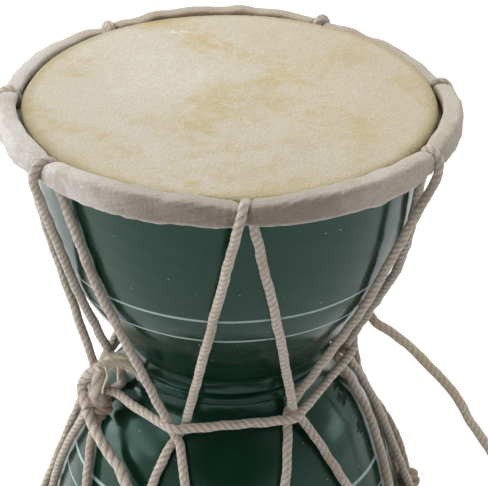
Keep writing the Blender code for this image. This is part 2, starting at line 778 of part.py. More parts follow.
def make_left_striker(material, collection):
    """The left striker: its rounded end sits at the big knot, and its own knot is at the other end."""
    route = smooth_route(left_striker_points(), 7.0 * MM)
    first = route[1] - route[0]
    first = first / np.linalg.norm(first)
    radius = STRIKER_DIAMETER / 2.0
    cap = [(0.06, 0.5), (0.32, 0.83), (1.0, 1.0)]
    rounded = [route[0] + share * radius * first for share, _ in cap]
    points = rounded + list(route[1:])
    swell = [size for _, size in cap] + [1.0] * (len(route) - 1)
    cord = tube("left_striker_cord", points, STRIKER_DIAMETER, 2, material, collection, swell)
    knot = make_end_knot(
        "left_striker_knot", route, STRIKER_KNOT_LENGTH, STRIKER_KNOT_RADIUS, material, collection
    )
    hang_from("left_striker_pivot", route[0], [cord, knot], collection)


def make_right_striker(material, collection):
    """The right striker: hitch, cord and end knot."""
    route = smooth_route(right_striker_points(), 8.0 * MM)
    hitch = make_hitch(material, collection)
    cord = tube("right_striker_cord", route, STRIKER_DIAMETER, 2, material, collection)
    knot = make_end_knot(
        "right_striker_knot", route, STRIKER_KNOT_LENGTH, STRIKER_KNOT_RADIUS, material, collection
    )
    hang_from("right_striker_pivot", hitch_centre()[0], [hitch, cord, knot], collection)


def make_waist(material, collection):
    """The waist cord, the big knot on it and the frayed end that stands out of the knot."""
    tube("waist_cord", waist_route(), ROPE_DIAMETER, 2, material, collection)
    centre = place(KNOT_REACH, KNOT_AZIMUTH, KNOT_HEIGHT)
    make_knot(
        "waist_knot", centre, (0, 0, 1), KNOT_LENGTH, KNOT_RADIUS, KNOT_TURNS, material, collection
    )
    fray = smooth_route(fray_points(), 3.0 * MM)
    share = np.linspace(0.0, 1.0, len(fray))
    swell = 1.0 + (2.0 * FRAY_END_RADIUS / ROPE_DIAMETER - 1.0) * share**1.5
    tube("frayed_end", fray, ROPE_DIAMETER, 2, material, collection, swell)


def make_loose_end(material, collection):
    """The waist cord's loose end and the knot on it."""
    route = loose_route()
    tube("loose_cord", route, ROPE_DIAMETER, 2, material, collection)
    direction = along_end(route)
    direction[2] = 0.0
    lift = LOOSE_KNOT_RADIUS - route[-1][2] + 0.1 * MM
    centre = route[-1] + (LOOSE_KNOT_LENGTH / 2.0 + CLEARANCE) * direction + np.array([0.0, 0.0, lift])
    make_knot(
        "loose_cord_knot", centre, direction, LOOSE_KNOT_LENGTH, LOOSE_KNOT_RADIUS, 2, material, collection
    )


def main():
    """Builds the drum in the open scene."""
    for old in list(bpy.data.objects):
        bpy.data.objects.remove(old)
    drum = bpy.data.collections.new("damaru")
    cutters = bpy.data.collections.new("cutters")
    bpy.context.scene.collection.children.link(drum)
    bpy.context.scene.collection.children.link(cutters)
    paint = make_material("green paint", COLOURS["paint"], 0.25)
    skin = make_material("goat skin", COLOURS["skin"], 0.75)
    cane = make_material("cane", COLOURS["cane"], 0.6)
    cotton = make_material("cotton rope", COLOURS["rope"], 0.9)
    make_shell(paint, drum)
    for side, word in ((1, "top"), (-1, "bottom")):
        make_hoop(f"{word}_hoop", side, cane, drum)
        make_head(f"{word}_head", side, skin, drum, cutters)
    route = lacing_route()
    tube("lacing_rope", route, ROPE_DIAMETER, 1, cotton, drum)
    length = np.linalg.norm(np.diff(route, axis=0), axis=1).sum()
    gap = least_gap(route, ROPE_DIAMETER, 3.0 * ROPE_DIAMETER)
    print(f"lacing rope {length:.3f} m, least gap to itself {gap / MM:.2f} mm")
    make_waist(cotton, drum)
    make_left_striker(cotton, drum)
    make_right_striker(cotton, drum)
    make_loose_end(cotton, drum)


main()
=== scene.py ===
"""Looks of the damaru: green painted wood, lapped skins and cotton rope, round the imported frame.

Metres, +Z up, azimuth counted in degrees from -Y towards +X. Each surface is worked out with numpy
as a grid of points, a function of two parameters, and put into a mesh as whole arrays.
"""

import bpy
import numpy as np
from mathutils import Matrix

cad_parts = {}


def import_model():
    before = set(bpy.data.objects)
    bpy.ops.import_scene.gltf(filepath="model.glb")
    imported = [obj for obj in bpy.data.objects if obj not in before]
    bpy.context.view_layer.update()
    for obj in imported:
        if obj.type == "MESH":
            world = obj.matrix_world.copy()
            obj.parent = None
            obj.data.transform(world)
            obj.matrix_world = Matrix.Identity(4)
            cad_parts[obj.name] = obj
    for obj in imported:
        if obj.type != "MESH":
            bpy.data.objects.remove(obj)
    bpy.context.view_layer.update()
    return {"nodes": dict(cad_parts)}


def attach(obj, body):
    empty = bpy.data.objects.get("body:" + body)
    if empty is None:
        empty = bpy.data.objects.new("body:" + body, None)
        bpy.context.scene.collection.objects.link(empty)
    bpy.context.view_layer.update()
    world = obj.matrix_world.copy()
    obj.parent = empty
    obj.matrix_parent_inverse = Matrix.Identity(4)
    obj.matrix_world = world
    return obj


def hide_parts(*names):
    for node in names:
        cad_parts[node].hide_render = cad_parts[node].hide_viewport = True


MM = 0.001
UP = np.array([0.0, 0.0, 1.0])
SINES = 9

# The shell, as in the part's source
HALF_HEIGHT = 106.4 * MM
STAND_HEIGHT = 109.2 * MM
NECK_RADIUS = 38.0 * MM
BEAD_RADIUS = 39.6 * MM
BOWL_FOOT_RADIUS = 39.6 * MM
BOWL_FOOT_HEIGHT = 9.7 * MM
SHOULDER_RADIUS = 64.35 * MM
SHOULDER_HEIGHT = 51.0 * MM
RIM_RADIUS = 74.0 * MM
RIM_HEIGHT = 105.5 * MM
SKIN = 0.6 * MM
# The lower bowl's foot is fuller by a swell that is greatest at a depth and fades over a reach
FOOT_SWELL = 3.2 * MM
FOOT_SWELL_DEPTH = 20.0 * MM
FOOT_SWELL_REACH = 14.0 * MM

# The lap and the cane hoop inside it
LEG_RADIUS = 74.9 * MM
HOOP_INNER = 79.15 * MM
HOOP_WIDTH = 2.2 * MM
LAP_TOP = 105.5 * MM
LAP_BOTTOM = 99.8 * MM
LAP_OUTER = 82.25 * MM
LAP_RISE = 4.1 * MM
LAP_BULGE = 1.6 * MM
LAP_SECTION = (
    (74.95, 99.8), (78.2, 99.7), (81.4, 99.7), (82.3, 100.1), (82.45, 102.6), (82.1, 104.6),
    (80.9, 105.4), (78.2, 105.55), (76.5, 105.2), (76.3, 104.3), (76.35, 103.0),
    (76.95, 103.0), (76.95, 104.4), (78.6, 104.9), (80.6, 104.7), (81.5, 103.9), (81.65, 101.6),
    (81.4, 100.5), (78.2, 100.4), (74.95, 100.4),
)

# Ropes: thickness, the gap to what they lie on, and the step between points of their middle lines
ROPE = 3.5 * MM
STRIKER = 4.4 * MM
SEAT = 0.3 * MM
STEP = 0.6 * MM
# The lacing points on the upper (1) and lower (-1) hoop: azimuth, half of the rope's step sideways over
# the hoop, how low it pulls the hoop, and how much the lap springs up in the span after it
POINTS = {
    1: np.array((3.7, 59.3, 104.0, 153.6, 216.2, 266.0, 309.3)),
    -1: np.array((2.6, 62.0, 99.0, 153.6, 216.2, 266.0, 319.0)),
}
SLANTS = {1: (2.8, 2.0, 1.3, 1.3, 1.3, 1.3, 1.6), -1: (1.3,) * 7}
SINKS = {1: MM * np.array((0.0, 0.0, 3.2, 1.4, 1.4, 0.9, 0.0)), -1: np.zeros(7)}
SPRINGS = {1: np.array((1.0, 1.0, 0.1, 0.65, 0.5, 1.0, 1.0)), -1: np.ones(7)}
# Where the waist cord gathers the rope: azimuth, distance from the axis, height from the waist, how much
# lower the rope's strands cross there, and how far the cord's corner is turned
CROSSINGS = np.array(
    [
        (33.5, 50.2, -5.0, 0.0, -3.6), (88.0, 49.6, -0.8, 0.0, 0.0), (130.5, 50.2, 0.0, 0.0, 0.0),
        (184.5, 50.2, 0.0, 0.0, 0.0), (231.0, 50.2, -3.0, 0.0, 0.0), (290.0, 51.0, -8.5, 0.0, 0.0),
        (337.4, 53.3, -6.0, 6.0, 0.0),
    ]
)
KNOT_CROSSING = 5
KNOT_REACH = 54.2 * MM
KNOT_AZIMUTH = 292.0
KNOT_HEIGHT = -9.5 * MM
KNOT_LENGTH = 18.0 * MM
KNOT_RADIUS = 5.4 * MM

# Routes of cords' middle lines, in millimetres and degrees: distance from the axis, azimuth, height from
# the waist. First the waist cord where it leaves the big knot, then the free cords
WAIST_START = (
    (53.6, 294.0, -9.4), (52.9, 297.0, -6.8), (51.4, 300.6, -4.6), (50.2, 306.0, -4.3),
    (50.2, 313.0, -4.8),
)
LEFT_STRIKER = (
    (60.1, 297.5, -12.0), (59.8, 300.6, -17.0), (59.7, 305.6, -20.6), (59.2, 310.3, -24.2),
    (59.4, 314.0, -26.6), (60.0, 317.6, -28.4), (62.2, 322.6, -31.4), (65.6, 325.8, -35.6),
    (68.6, 327.4, -41.4), (70.4, 328.2, -48.6), (71.8, 328.8, -56.4), (73.6, 329.4, -64.6),
)
RIGHT_STRIKER = (
    (53.7, 117.9, 0.2), (55.7, 117.9, 0.2), (56.0, 117.2, -8.0), (55.8, 115.0, -17.0),
    (57.0, 112.0, -27.0), (60.2, 108.6, -36.0), (64.9, 105.8, -44.0), (69.0, 104.0, -51.5),
    (72.0, 103.0, -59.0), (74.2, 102.3, -67.0), (76.2, 102.2, -74.0),
)
LYING = -107.25
LOOSE_CORD = (
    (49.0, 94.0, 3.4), (49.4, 93.6, 7.4), (51.5, 92.0, 11.9), (54.4, 88.8, 13.7), (57.6, 86.0, 11.9),
    (66.3, 85.2, 6.2), (72.7, 84.8, 0.5), (82.2, 84.2, -9.3), (88.7, 83.9, -16.6), (92.6, 83.8, -23.4),
    (97.9, 83.5, -32.2), (103.6, 83.4, -40.7), (108.8, 83.2, -50.4), (113.3, 83.3, -62.0),
    (116.7, 83.6, -75.0), (119.6, 84.1, -88.0), (123.4, 85.1, -99.0), (129.4, 86.8, LYING + 1.2),
    (137.6, 88.9, LYING), (147.0, 91.2, LYING), (156.0, 93.0, LYING),
)
LOOSE_FACING = 86.0
STRIKER_KNOT = (4.8 * MM, 11.6 * MM, 3.4 * MM)
# Each free cord: names of its piece, its end's piece and the two nodes that they stand for; body, look
# and route; azimuth it faces, diameter as drawn, lay, groove depth, columns and seed; radius, length and
# rope of the knot at its end; its true diameter and how it lies
FREE_CORDS = (
    (("left_striker_rope", "left_striker_end", "left_striker_cord", "left_striker_knot"),
     "left_striker", "cotton_rope", LEFT_STRIKER, (315.0, STRIKER, 12.5 * MM, 0.12, 24, 51),
     STRIKER_KNOT, STRIKER, "hanging"),
    (("right_striker_rope", "right_striker_end", "right_striker_cord", "right_striker_knot"),
     "right_striker", "soiled_cotton", RIGHT_STRIKER, (102.0, STRIKER, 12.5 * MM, 0.13, 24, 52),
     STRIKER_KNOT, STRIKER, "hanging"),
    (("loose_rope", "loose_rope_end", "loose_cord", "loose_cord_knot"),
     "drum", "loose_cotton", LOOSE_CORD, (LOOSE_FACING, 3.8 * MM, 8.0 * MM, 0.08, 20, 53),
     (3.9 * MM, 10.0 * MM, 2.9 * MM), ROPE, "loose"),
)
# The big knot's two strands, round its core, and the cut rope end that is spread out above it
OVER_STRAND = (
    (53.7, 300.0, 7.0), (55.4, 295.0, 2.6), (57.6, 291.5, -2.0), (58.9, 290.5, -6.9), (59.6, 293.5, -9.9),
    (60.1, 297.5, -12.6),
)
UPRIGHT_STRAND = (
    (53.6, 298.0, 6.6), (55.2, 299.5, 2.4), (56.9, 299.5, -2.0), (56.8, 299.0, -5.5), (54.4, 298.5, -9.5),
)
FRAY_TUFTS = (
    ((53.2, 299.0, 7.6), (51.4, 302.0, 10.9), (49.4, 307.0, 12.9), (47.2, 311.0, 12.6)),
    ((53.4, 299.0, 6.8), (51.4, 301.5, 8.6), (49.6, 306.5, 10.2), (47.7, 312.5, 9.6)),
    ((53.6, 298.5, 6.4), (52.0, 301.0, 9.6), (50.6, 304.0, 11.4), (49.0, 308.0, 11.4)),
)
FRAY_THREADS = (
    ((54.2, 302.5, 8.2), (54.4, 304.0, 4.8), (56.0, 303.6, 0.4), (56.3, 303.2, -2.6)),
    ((50.8, 306.0, 9.6), (51.6, 307.4, 6.2), (51.4, 306.6, 3.0)),
    ((47.9, 311.0, 9.9), (47.3, 313.4, 7.5), (46.4, 314.0, 4.4)),
)

# The paint's pale stripes: height from the waist and half width. Its spilt black spots: point and radius.
# Marks on the upper skin: x and y. All in millimetres
STRIPES = ((40.6, 0.42), (51.5, 0.48), (-41.1, 0.62), (-50.6, 0.36))
DRIPS = (
    ((41.7, -12.4, 97.5), 0.8), ((42.7, -15.9, 95.3), 0.7), ((45.1, -15.4, 93.1), 1.1),
    ((43.7, -15.8, 94.3), 0.6), ((50.6, -18.4, 84.3), 0.9), ((51.2, -19.0, 82.8), 0.9),
    ((52.7, -19.9, 79.2), 0.45), ((53.9, -20.2, 76.0), 0.4), ((55.5, -20.1, 72.6), 0.4),
    ((57.0, -19.7, 69.3), 0.4), ((51.8, -19.5, 81.3), 0.5),
)
SCUFF = (-19.3, 56.2)
PINK_MARK = (68.7, 9.7)
# Materials with colours as they look on screen, 0 to 255. Mottled ones: base, stain and pale colour, size
# of patches and speckles, share of stain and pale. Cottons: lit, middle, deep (painted shade in the
# grooves between strands) and soiled colour, share of soil, relief
MOTTLES = {
    "painted_wood": ((14, 45, 31), (9, 35, 23), (19, 55, 40), 26.0, 240.0, 0.6, 0.7),
    "goat_skin": ((211, 201, 181), (199, 177, 126), (220, 213, 201), 17.0, 210.0, 1.0, 1.0),
    "lapped_hide": ((197, 188, 180), (160, 141, 120), (214, 208, 204), 42.0, 330.0, 0.8, 0.8),
    "cane": ((178, 148, 100), (120, 90, 56), (205, 180, 134), 60.0, 500.0, 0.8, 0.5),
}
COTTONS = {
    "cotton_rope": ((226, 214, 201), (182, 166, 149), (124, 107, 92), (158, 136, 114), 0.5, 0.35 * MM),
    "loose_cotton": ((228, 212, 190), (200, 182, 156), (166, 146, 120), (180, 156, 126), 0.4, 0.3 * MM),
    "soiled_cotton": ((190, 172, 150), (162, 142, 120), (108, 89, 72), (136, 112, 88), 0.5, 0.3 * MM),
    "frayed_cotton": ((240, 230, 208), (214, 202, 174), (170, 154, 124), (196, 178, 142), 0.3, 0.3 * MM),
}

# Bright panels a metre off, seen from the drum: azimuth, rise, width and height in degrees, brightness
PANELS = {
    "left softbox": (-85.0, 49.0, 40.0, 26.0, 3.2),
    "left window, lower pane": (-96.0, 5.5, 48.0, 15.0, 4.0),
    "left window, upper pane": (-83.5, 21.5, 43.0, 9.0, 4.0),
    "right window": (101.0, 12.0, 22.0, 12.0, 2.4),
}
# The photograph's camera, 31 degrees above the level: its right, up and back, its place and its lens
CAMERA_FRAME = (
    (0.99995, -0.00387, 0.00961), (-0.00629, 0.51058, 0.85980), (-0.00823, -0.85982, 0.51053),
    (0.0, -0.5987, 0.5098),
)
CAMERA_LENS = 136.18


# ---------------------------------------------------------------- numbers and routes

def place(radius, azimuth, height):
    """Points at distances from the axis, azimuths in degrees and heights from the waist."""
    turn = np.radians(azimuth)
    radius, turn, height = np.broadcast_arrays(radius, turn, height)
    return np.stack([radius * np.sin(turn), -radius * np.cos(turn), height + STAND_HEIGHT], axis=-1)


def placed(rows):
    """Points from rows of distance, azimuth and height in millimetres and degrees."""
    radius, azimuth, height = np.array(rows).T
    return place(radius * MM, azimuth, height * MM)


def outward(azimuth):
    """Unit vector away from the axis."""
    return place(1.0, azimuth, -STAND_HEIGHT)


def sideways(azimuth):
    """Unit vector along the drum's round."""
    return outward(azimuth + 90.0)


def unit(vectors):
    """The vectors at length one."""
    return vectors / np.linalg.norm(vectors, axis=-1, keepdims=True)


def square_to(direction):
    """A unit vector square to a direction."""
    helper = np.array([1.0, 0.0, 0.0]) if abs(direction[0]) < 0.8 else np.array([0.0, 1.0, 0.0])
    return unit(np.cross(direction, helper))


def circled(middle, radius, angle, side, across):
    """Points at a radius and an angle round a middle, in the plane of two directions."""
    return (
        middle + (radius * np.cos(angle))[..., None] * side + (radius * np.sin(angle))[..., None] * across
    )


def wander(x, seed, low, high, whole=False):
    """A smooth uneven line between about -1 and 1: a sum of sines of random waves per unit of x."""
    draw = np.random.default_rng(seed)
    waves = draw.uniform(low, high, SINES)
    waves = np.round(waves) if whole else waves
    turns = draw.uniform(0.0, 2 * np.pi, SINES)
    return np.sin(np.asarray(x)[..., None] * waves * 2 * np.pi + turns).sum(axis=-1) / np.sqrt(SINES)


def ripple(share, seed, low, high):
    """As wander, with whole waves, so that it closes where the share of the round goes from 1 to 0."""
    return wander(share, seed, low, high, whole=True)


def bezier(start, start_handle, end_handle, end, count):
    """Points of a cubic curve, without its last one."""
    t = np.linspace(0.0, 1.0, count, endpoint=False)[:, None]
    a, b, c, d = (np.array(p) for p in (start, start_handle, end_handle, end))
    return (1 - t) ** 3 * a + 3 * (1 - t) ** 2 * t * b + 3 * (1 - t) * t**2 * c + t**3 * d


def route_length(points):
    """The length along a line of points, at each of them."""
    steps = np.linalg.norm(np.diff(points, axis=0), axis=1)
    return np.concatenate([[0.0], np.cumsum(steps)])


def sampled(at, along, values):
    """Rows of values that are known along a line, at other places along it."""
    return np.stack([np.interp(at, along, column) for column in values.T], axis=-1)


def smooth_route(points, spacing):
    """Points about a spacing apart on one smooth curve through the route's own points."""
    before = np.vstack([2 * points[0] - points[1], points[:-1]])
    after = np.vstack([points[1:], 2 * points[-1] - points[-2]])
    slopes = 0.5 * (after - before)
    share = np.linspace(0.0, 1.0, 24, endpoint=False)[None, :, None]
    curve = (
        (2 * share**3 - 3 * share**2 + 1) * points[:-1, None]
        + (share**3 - 2 * share**2 + share) * slopes[:-1, None]
        + (3 * share**2 - 2 * share**3) * points[1:, None]
        + (share**3 - share**2) * slopes[1:, None]
    )
    return even(np.vstack([curve.reshape(-1, 3), points[-1:]]), spacing)


def even(points, spacing):
    """The line's points moved to equal steps of about a spacing."""
    along = route_length(points)
    count = max(4, int(round(along[-1] / spacing))) + 1
    return sampled(np.linspace(0.0, along[-1], count), along, points)


def softened(points, spacing, reach):
    """The line drawn over by a bell-shaped mean, so that its corners bend as rope does."""
    points = even(points, spacing)
    half = int(np.ceil(3.0 * reach / spacing))
    weight = np.exp(-0.5 * (np.arange(-half, half + 1) * spacing / reach) ** 2)
    weight /= weight.sum()
    head = 2 * points[0] - points[half:0:-1]
    tail = 2 * points[-1] - points[-2 : -half - 2 : -1]
    padded = np.vstack([head, points, tail])
    soft = np.stack([np.convolve(padded[:, k], weight, mode="valid") for k in range(3)], axis=-1)
    return even(soft, spacing)


def bowl_outline(fine):
    """Outer (radius, height) points of the upper half, from the neck's middle up to the rim."""
    turn = np.linspace(0.0, np.pi / 2, 7)[:-1]
    bead = [NECK_RADIUS + (BEAD_RADIUS - NECK_RADIUS) * np.cos(turn), 2.0 * MM * np.sin(turn)]
    foot, shoulder = (BOWL_FOOT_RADIUS, BOWL_FOOT_HEIGHT), (SHOULDER_RADIUS, SHOULDER_HEIGHT)
    edge = (RIM_RADIUS, RIM_HEIGHT - 0.8 * MM)
    neck = bezier(
        (NECK_RADIUS, 2.0 * MM), (NECK_RADIUS - 0.5 * MM, 4.0 * MM), (NECK_RADIUS - 0.2 * MM, 8.4 * MM),
        foot, 10,
    )
    bowl = bezier(
        foot, (BOWL_FOOT_RADIUS + 14.76 * MM, BOWL_FOOT_HEIGHT + 18.0 * MM),
        (SHOULDER_RADIUS - 3.0 * MM, SHOULDER_HEIGHT - 10.0 * MM), shoulder, fine,
    )
    wall = bezier(
        shoulder, (SHOULDER_RADIUS + 4.8 * MM, SHOULDER_HEIGHT + 16.0 * MM),
        (RIM_RADIUS - 1.62 * MM, RIM_HEIGHT - 18.0 * MM), edge, fine,
    )
    return np.vstack([np.column_stack(bead), neck, bowl, wall, edge, (RIM_RADIUS - 0.6 * MM, RIM_HEIGHT)])


def fuller(outline):
    """The lower half's outline with swell * exp(-((height + depth) / reach)^2) added to its radius."""
    swell = FOOT_SWELL * np.exp(-(((outline[:, 1] + FOOT_SWELL_DEPTH) / FOOT_SWELL_REACH) ** 2))
    return outline + np.column_stack([swell, 0.0 * swell])


def clear_outline(clearance):
    """(height, radius) of the line that a cord's middle may not go inside, for both halves."""
    outline = bowl_outline(10)
    slope = unit(np.gradient(outline, axis=0))
    moved = outline + clearance * np.column_stack([slope[:, 1], -slope[:, 0]])
    both = np.vstack([fuller(moved * (1, -1)), moved])
    order = np.argsort(both[:, 1])
    return both[order, 1], both[order, 0]


def tight_run(start, end):
    """A rope pulled tight over the shell: points go to their neighbours' middle and out of the wood."""
    heights, radii = clear_outline(ROPE / 2 + 0.5 * MM)
    points = np.linspace(start, end, 25)
    for _ in range(700):
        points[1:-1] = 0.5 * (points[:-2] + points[2:])
        least = np.interp(points[:, 2] - STAND_HEIGHT, heights, radii)
        push = np.maximum(1.0, least / np.hypot(points[:, 0], points[:, 1]))
        push[[0, -1]] = 1.0
        points[:, :2] *= push[:, None]
    return points


def loop_path(point, side):
    """The rope's middle line round a hoop: up the outer face, over the lap and down inside it."""
    outside = LAP_OUTER + SEAT + ROPE / 2
    inside = LEG_RADIUS + SEAT + ROPE / 2
    crest = STAND_HEIGHT - 0.05 * MM - ROPE / 2
    path = np.array(
        [
            (outside, LAP_BOTTOM - 0.8 * MM),
            (outside, LAP_TOP - 2.7 * MM),
            (outside - 0.8 * MM, LAP_TOP - 0.5 * MM),
            (outside - 2.5 * MM, crest - 0.9 * MM),
            (outside - 4.5 * MM, crest - 0.2 * MM),
            (inside + 1.35 * MM, crest - 0.7 * MM),
            (inside + 0.3 * MM, crest - 2.2 * MM),
            (inside, crest - 4.0 * MM),
            (inside, LAP_BOTTOM - 1.2 * MM),
        ]
    )
    azimuth, slant = POINTS[side][point], SLANTS[side][point] * MM
    steps = np.linspace(-slant, slant, len(path))
    height = side * (path[:, 1] - sink(azimuth, side))
    return place(path[:, 0], azimuth, height) + steps[:, None] * sideways(azimuth)


def lacing_route():
    """The one rope, from hoop to hoop through the crossings, from under the big knot to above it.

    At a crossing it lies one rope thickness behind the waist cord on its way down, and two on its way up.
    """
    reach = KNOT_LENGTH / 2 + SEAT
    low = place(KNOT_REACH, KNOT_AZIMUTH, KNOT_HEIGHT - reach)
    high = place(KNOT_REACH, KNOT_AZIMUTH, KNOT_HEIGHT + reach)
    previous = low - UP * ROPE / 2
    route = [low[None], previous[None]]
    point, side = (KNOT_CROSSING + 1) % 7, -1
    for step in range(14):
        loop = loop_path(point, side)
        route += [tight_run(previous, loop[0])[1:-1], loop]
        if step == 13:
            route += [tight_run(loop[-1], high + UP * ROPE / 2)[1:], high[None]]
            break
        azimuth, radius, height, lower, _ = CROSSINGS[point]
        depth = (1 if side > 0 else 2) * (ROPE + 0.45 * MM)
        middle = place(radius * MM - depth, azimuth, (height - lower) * MM)
        lean = 2.5 * MM * unit(side * UP - 0.7 * sideways(azimuth))
        route += [tight_run(loop[-1], middle + lean)[1:], middle[None]]
        previous = middle - lean
        route.append(previous[None])
        point, side = (point + 1) % 7, -side
    return np.vstack(route)


def waist_route():
    """The waist cord, pulled tight round the crossings, from one side of the big knot to the other."""
    along = sideways(KNOT_AZIMUTH)
    side = KNOT_RADIUS - 1.5 * MM
    middle = place(KNOT_REACH, KNOT_AZIMUTH, KNOT_HEIGHT)
    last = middle - side * along
    route = list(placed(WAIST_START))
    azimuth, radius, height, _, turn = CROSSINGS[(KNOT_CROSSING + np.arange(1, 7)) % 7].T
    centres = place(radius * MM, azimuth + turn, height * MM)
    before, after = np.vstack([route[-1], centres[:-1]]), np.vstack([centres[1:], last])
    for previous, centre, following in zip(before, centres, after):
        back, ahead = unit(previous - centre), unit(following - centre)
        route += [centre + 6.0 * MM * back, centre + 1.7 * MM * back]
        route += [centre + 1.7 * MM * ahead, centre + 6.0 * MM * ahead]
    return np.array(route + [middle - (side + 2.4 * MM) * along, last])


def span_at(azimuth, side):
    """The lacing point before each azimuth, and the share of the way to the next one."""
    first = POINTS[side][0]
    ends = np.append(POINTS[side], first + 360.0)
    azimuth = (azimuth - first) % 360.0 + first
    index = np.clip(np.searchsorted(ends, azimuth, side="right") - 1, 0, 6)
    return index, (azimuth - ends[index]) / (ends[index + 1] - ends[index])


def spring(azimuth, side, power=0.45):
    """0 at a lacing point and 1 midway between two: how far the lap springs up between them."""
    index, share = span_at(azimuth, side)
    return SPRINGS[side][index] * np.sin(np.pi * share).clip(0.0) ** power


def sink(azimuth, side):
    """How far the lap is pulled in at each azimuth."""
    index, share = span_at(azimuth, side)
    blend = share * share * (3.0 - 2.0 * share)
    return SINKS[side][index] * (1.0 - blend) + SINKS[side][(index + 1) % 7] * blend


def from_lacing(azimuth, side, radius):
    """Signed distance along the round from the nearest lacing point."""
    apart = (azimuth[..., None] - POINTS[side] + 180.0) % 360.0 - 180.0
    nearest = np.take_along_axis(apart, np.abs(apart).argmin(axis=-1)[..., None], axis=-1)[..., 0]
    return np.radians(nearest) * radius


# ---------------------------------------------------------------- meshes

def add_mesh(name, arrays, material):
    """A smooth mesh object from a grid's arrays; its faces are turned outwards if it is inside out."""
    vertices, quads, triangles, quad_uv, triangle_uv, values = arrays
    corners = vertices[quads]
    halves = (corners[:, (0, 1, 2)], corners[:, (0, 2, 3)], vertices[triangles])
    if sum(np.einsum("ij,ij->", f[:, 0], np.cross(f[:, 1], f[:, 2])) for f in halves) < 0:
        quads, triangles = quads[:, ::-1], triangles[:, ::-1]
        quad_uv, triangle_uv = quad_uv[:, ::-1], triangle_uv[:, ::-1]
    mesh = bpy.data.meshes.new(name)
    mesh.vertices.add(len(vertices))
    mesh.vertices.foreach_set("co", vertices.astype(np.float32).ravel())
    loops = np.concatenate([quads.ravel(), triangles.ravel()]).astype(np.int32)
    starts = [np.arange(len(quads)) * 4, len(quads) * 4 + np.arange(len(triangles)) * 3]
    starts = np.concatenate(starts).astype(np.int32)
    mesh.loops.add(len(loops))
    mesh.loops.foreach_set("vertex_index", loops)
    mesh.polygons.add(len(starts))
    mesh.polygons.foreach_set("loop_start", starts)
    mesh.update(calc_edges=True)
    mesh.polygons.foreach_set("use_smooth", np.ones(len(starts), bool))
    flat = np.vstack([quad_uv.reshape(-1, 2), triangle_uv.reshape(-1, 2)])
    mesh.uv_layers.new(name="along").data.foreach_set("uv", flat.astype(np.float32).ravel())
    for key, value in values.items():
        attribute = mesh.attributes.new(key, "FLOAT", "POINT")
        attribute.data.foreach_set("value", value.astype(np.float32).ravel())
    mesh.materials.append(material)
    piece = bpy.data.objects.new(name, mesh)
    bpy.context.scene.collection.objects.link(piece)
    return piece


def grid_faces(rows, columns):
    """Rows and columns of the corners of each quad of a grid, before closing it round."""
    i, j = np.meshgrid(np.arange(rows), np.arange(columns), indexing="ij")
    i, j = i.ravel(), j.ravel()
    return np.stack([i, i, i + 1, i + 1], axis=1), np.stack([j, j + 1, j + 1, j], axis=1)


def grid_arrays(points, along, values, rows_close=False):
    """Vertices, quads, cap triangles, UVs of both, and values of a grid of points (rows, columns, 3).

    Its columns close round. Its rows do too, or else both ends get a cap.
    """
    rows, columns = points.shape[:2]
    i, j = grid_faces(rows if rows_close else rows - 1, columns)
    quads = (i % rows) * columns + j % columns
    quad_uv = np.stack([np.append(along, along[-1])[i], j / columns], axis=-1)
    vertices = points.reshape(-1, 3)
    values = {k: v.reshape(-1) for k, v in values.items()}
    if rows_close:
        return vertices, quads, np.zeros((0, 3), int), quad_uv, np.zeros((0, 3, 2)), values
    ring = np.arange(columns)
    turned = (ring + 1) % columns
    first, far = len(vertices), (rows - 1) * columns
    near_cap = np.stack([np.full(columns, first), turned, ring], axis=1)
    far_cap = np.stack([np.full(columns, first + 1), far + ring, far + turned], axis=1)
    triangle_uv = np.zeros((2 * columns, 3, 2))
    triangle_uv[:columns, :, 0] = along[0]
    triangle_uv[columns:, :, 0] = along[-1]
    vertices = np.vstack([vertices, points[0].mean(axis=0), points[-1].mean(axis=0)])
    values = {k: np.append(v, [v[0], v[far]]) for k, v in values.items()}
    return vertices, quads, np.vstack([near_cap, far_cap]), quad_uv, triangle_uv, values


def joined(parts):
    """Several grids' arrays as one."""
    counts = np.cumsum([0] + [len(p[0]) for p in parts[:-1]])
    return (
        np.vstack([p[0] for p in parts]),
        np.vstack([p[1] + c for p, c in zip(parts, counts)]),
        np.vstack([p[2] + c for p, c in zip(parts, counts)]),
        np.vstack([p[3] for p in parts]),
        np.vstack([p[4] for p in parts]),
        {k: np.concatenate([p[5][k] for p in parts]) for k in parts[0][5]},
    )


def frames(path, reference):
    """The path's direction at each point, the way nearest to the reference square to it, and across."""
    ahead = unit(np.gradient(path, axis=0))
    reference = np.broadcast_to(reference, path.shape)
    side = unit(reference - (reference * ahead).sum(axis=1, keepdims=True) * ahead)
    return ahead, side, np.cross(ahead, side)


def lathe(name, profile, columns, material, bend, poles=False, values=None):
    """A profile of (radius, height) points turned round the axis; bend moves the grid's points.

    The grid is (radius sin a, -radius cos a, height) over profile and azimuth. With poles the profile
    starts and ends on the axis, and otherwise it is closed.
    """
    azimuth = np.arange(columns) * 360.0 / columns
    inner = profile[1:-1] if poles else profile
    radius, height = inner[:, :1] + 0.0 * azimuth, inner[:, 1:] + 0.0 * azimuth
    radius, height = bend(radius, height, azimuth[None] + 0.0 * radius)
    values = {k: v[:, None] + 0.0 * radius for k, v in (values or {}).items()}
    points = place(radius, azimuth[None], height)
    arrays = grid_arrays(points, route_length(inner), values, rows_close=not poles)
    return add_mesh(name, arrays, material)


# ---------------------------------------------------------------- rope

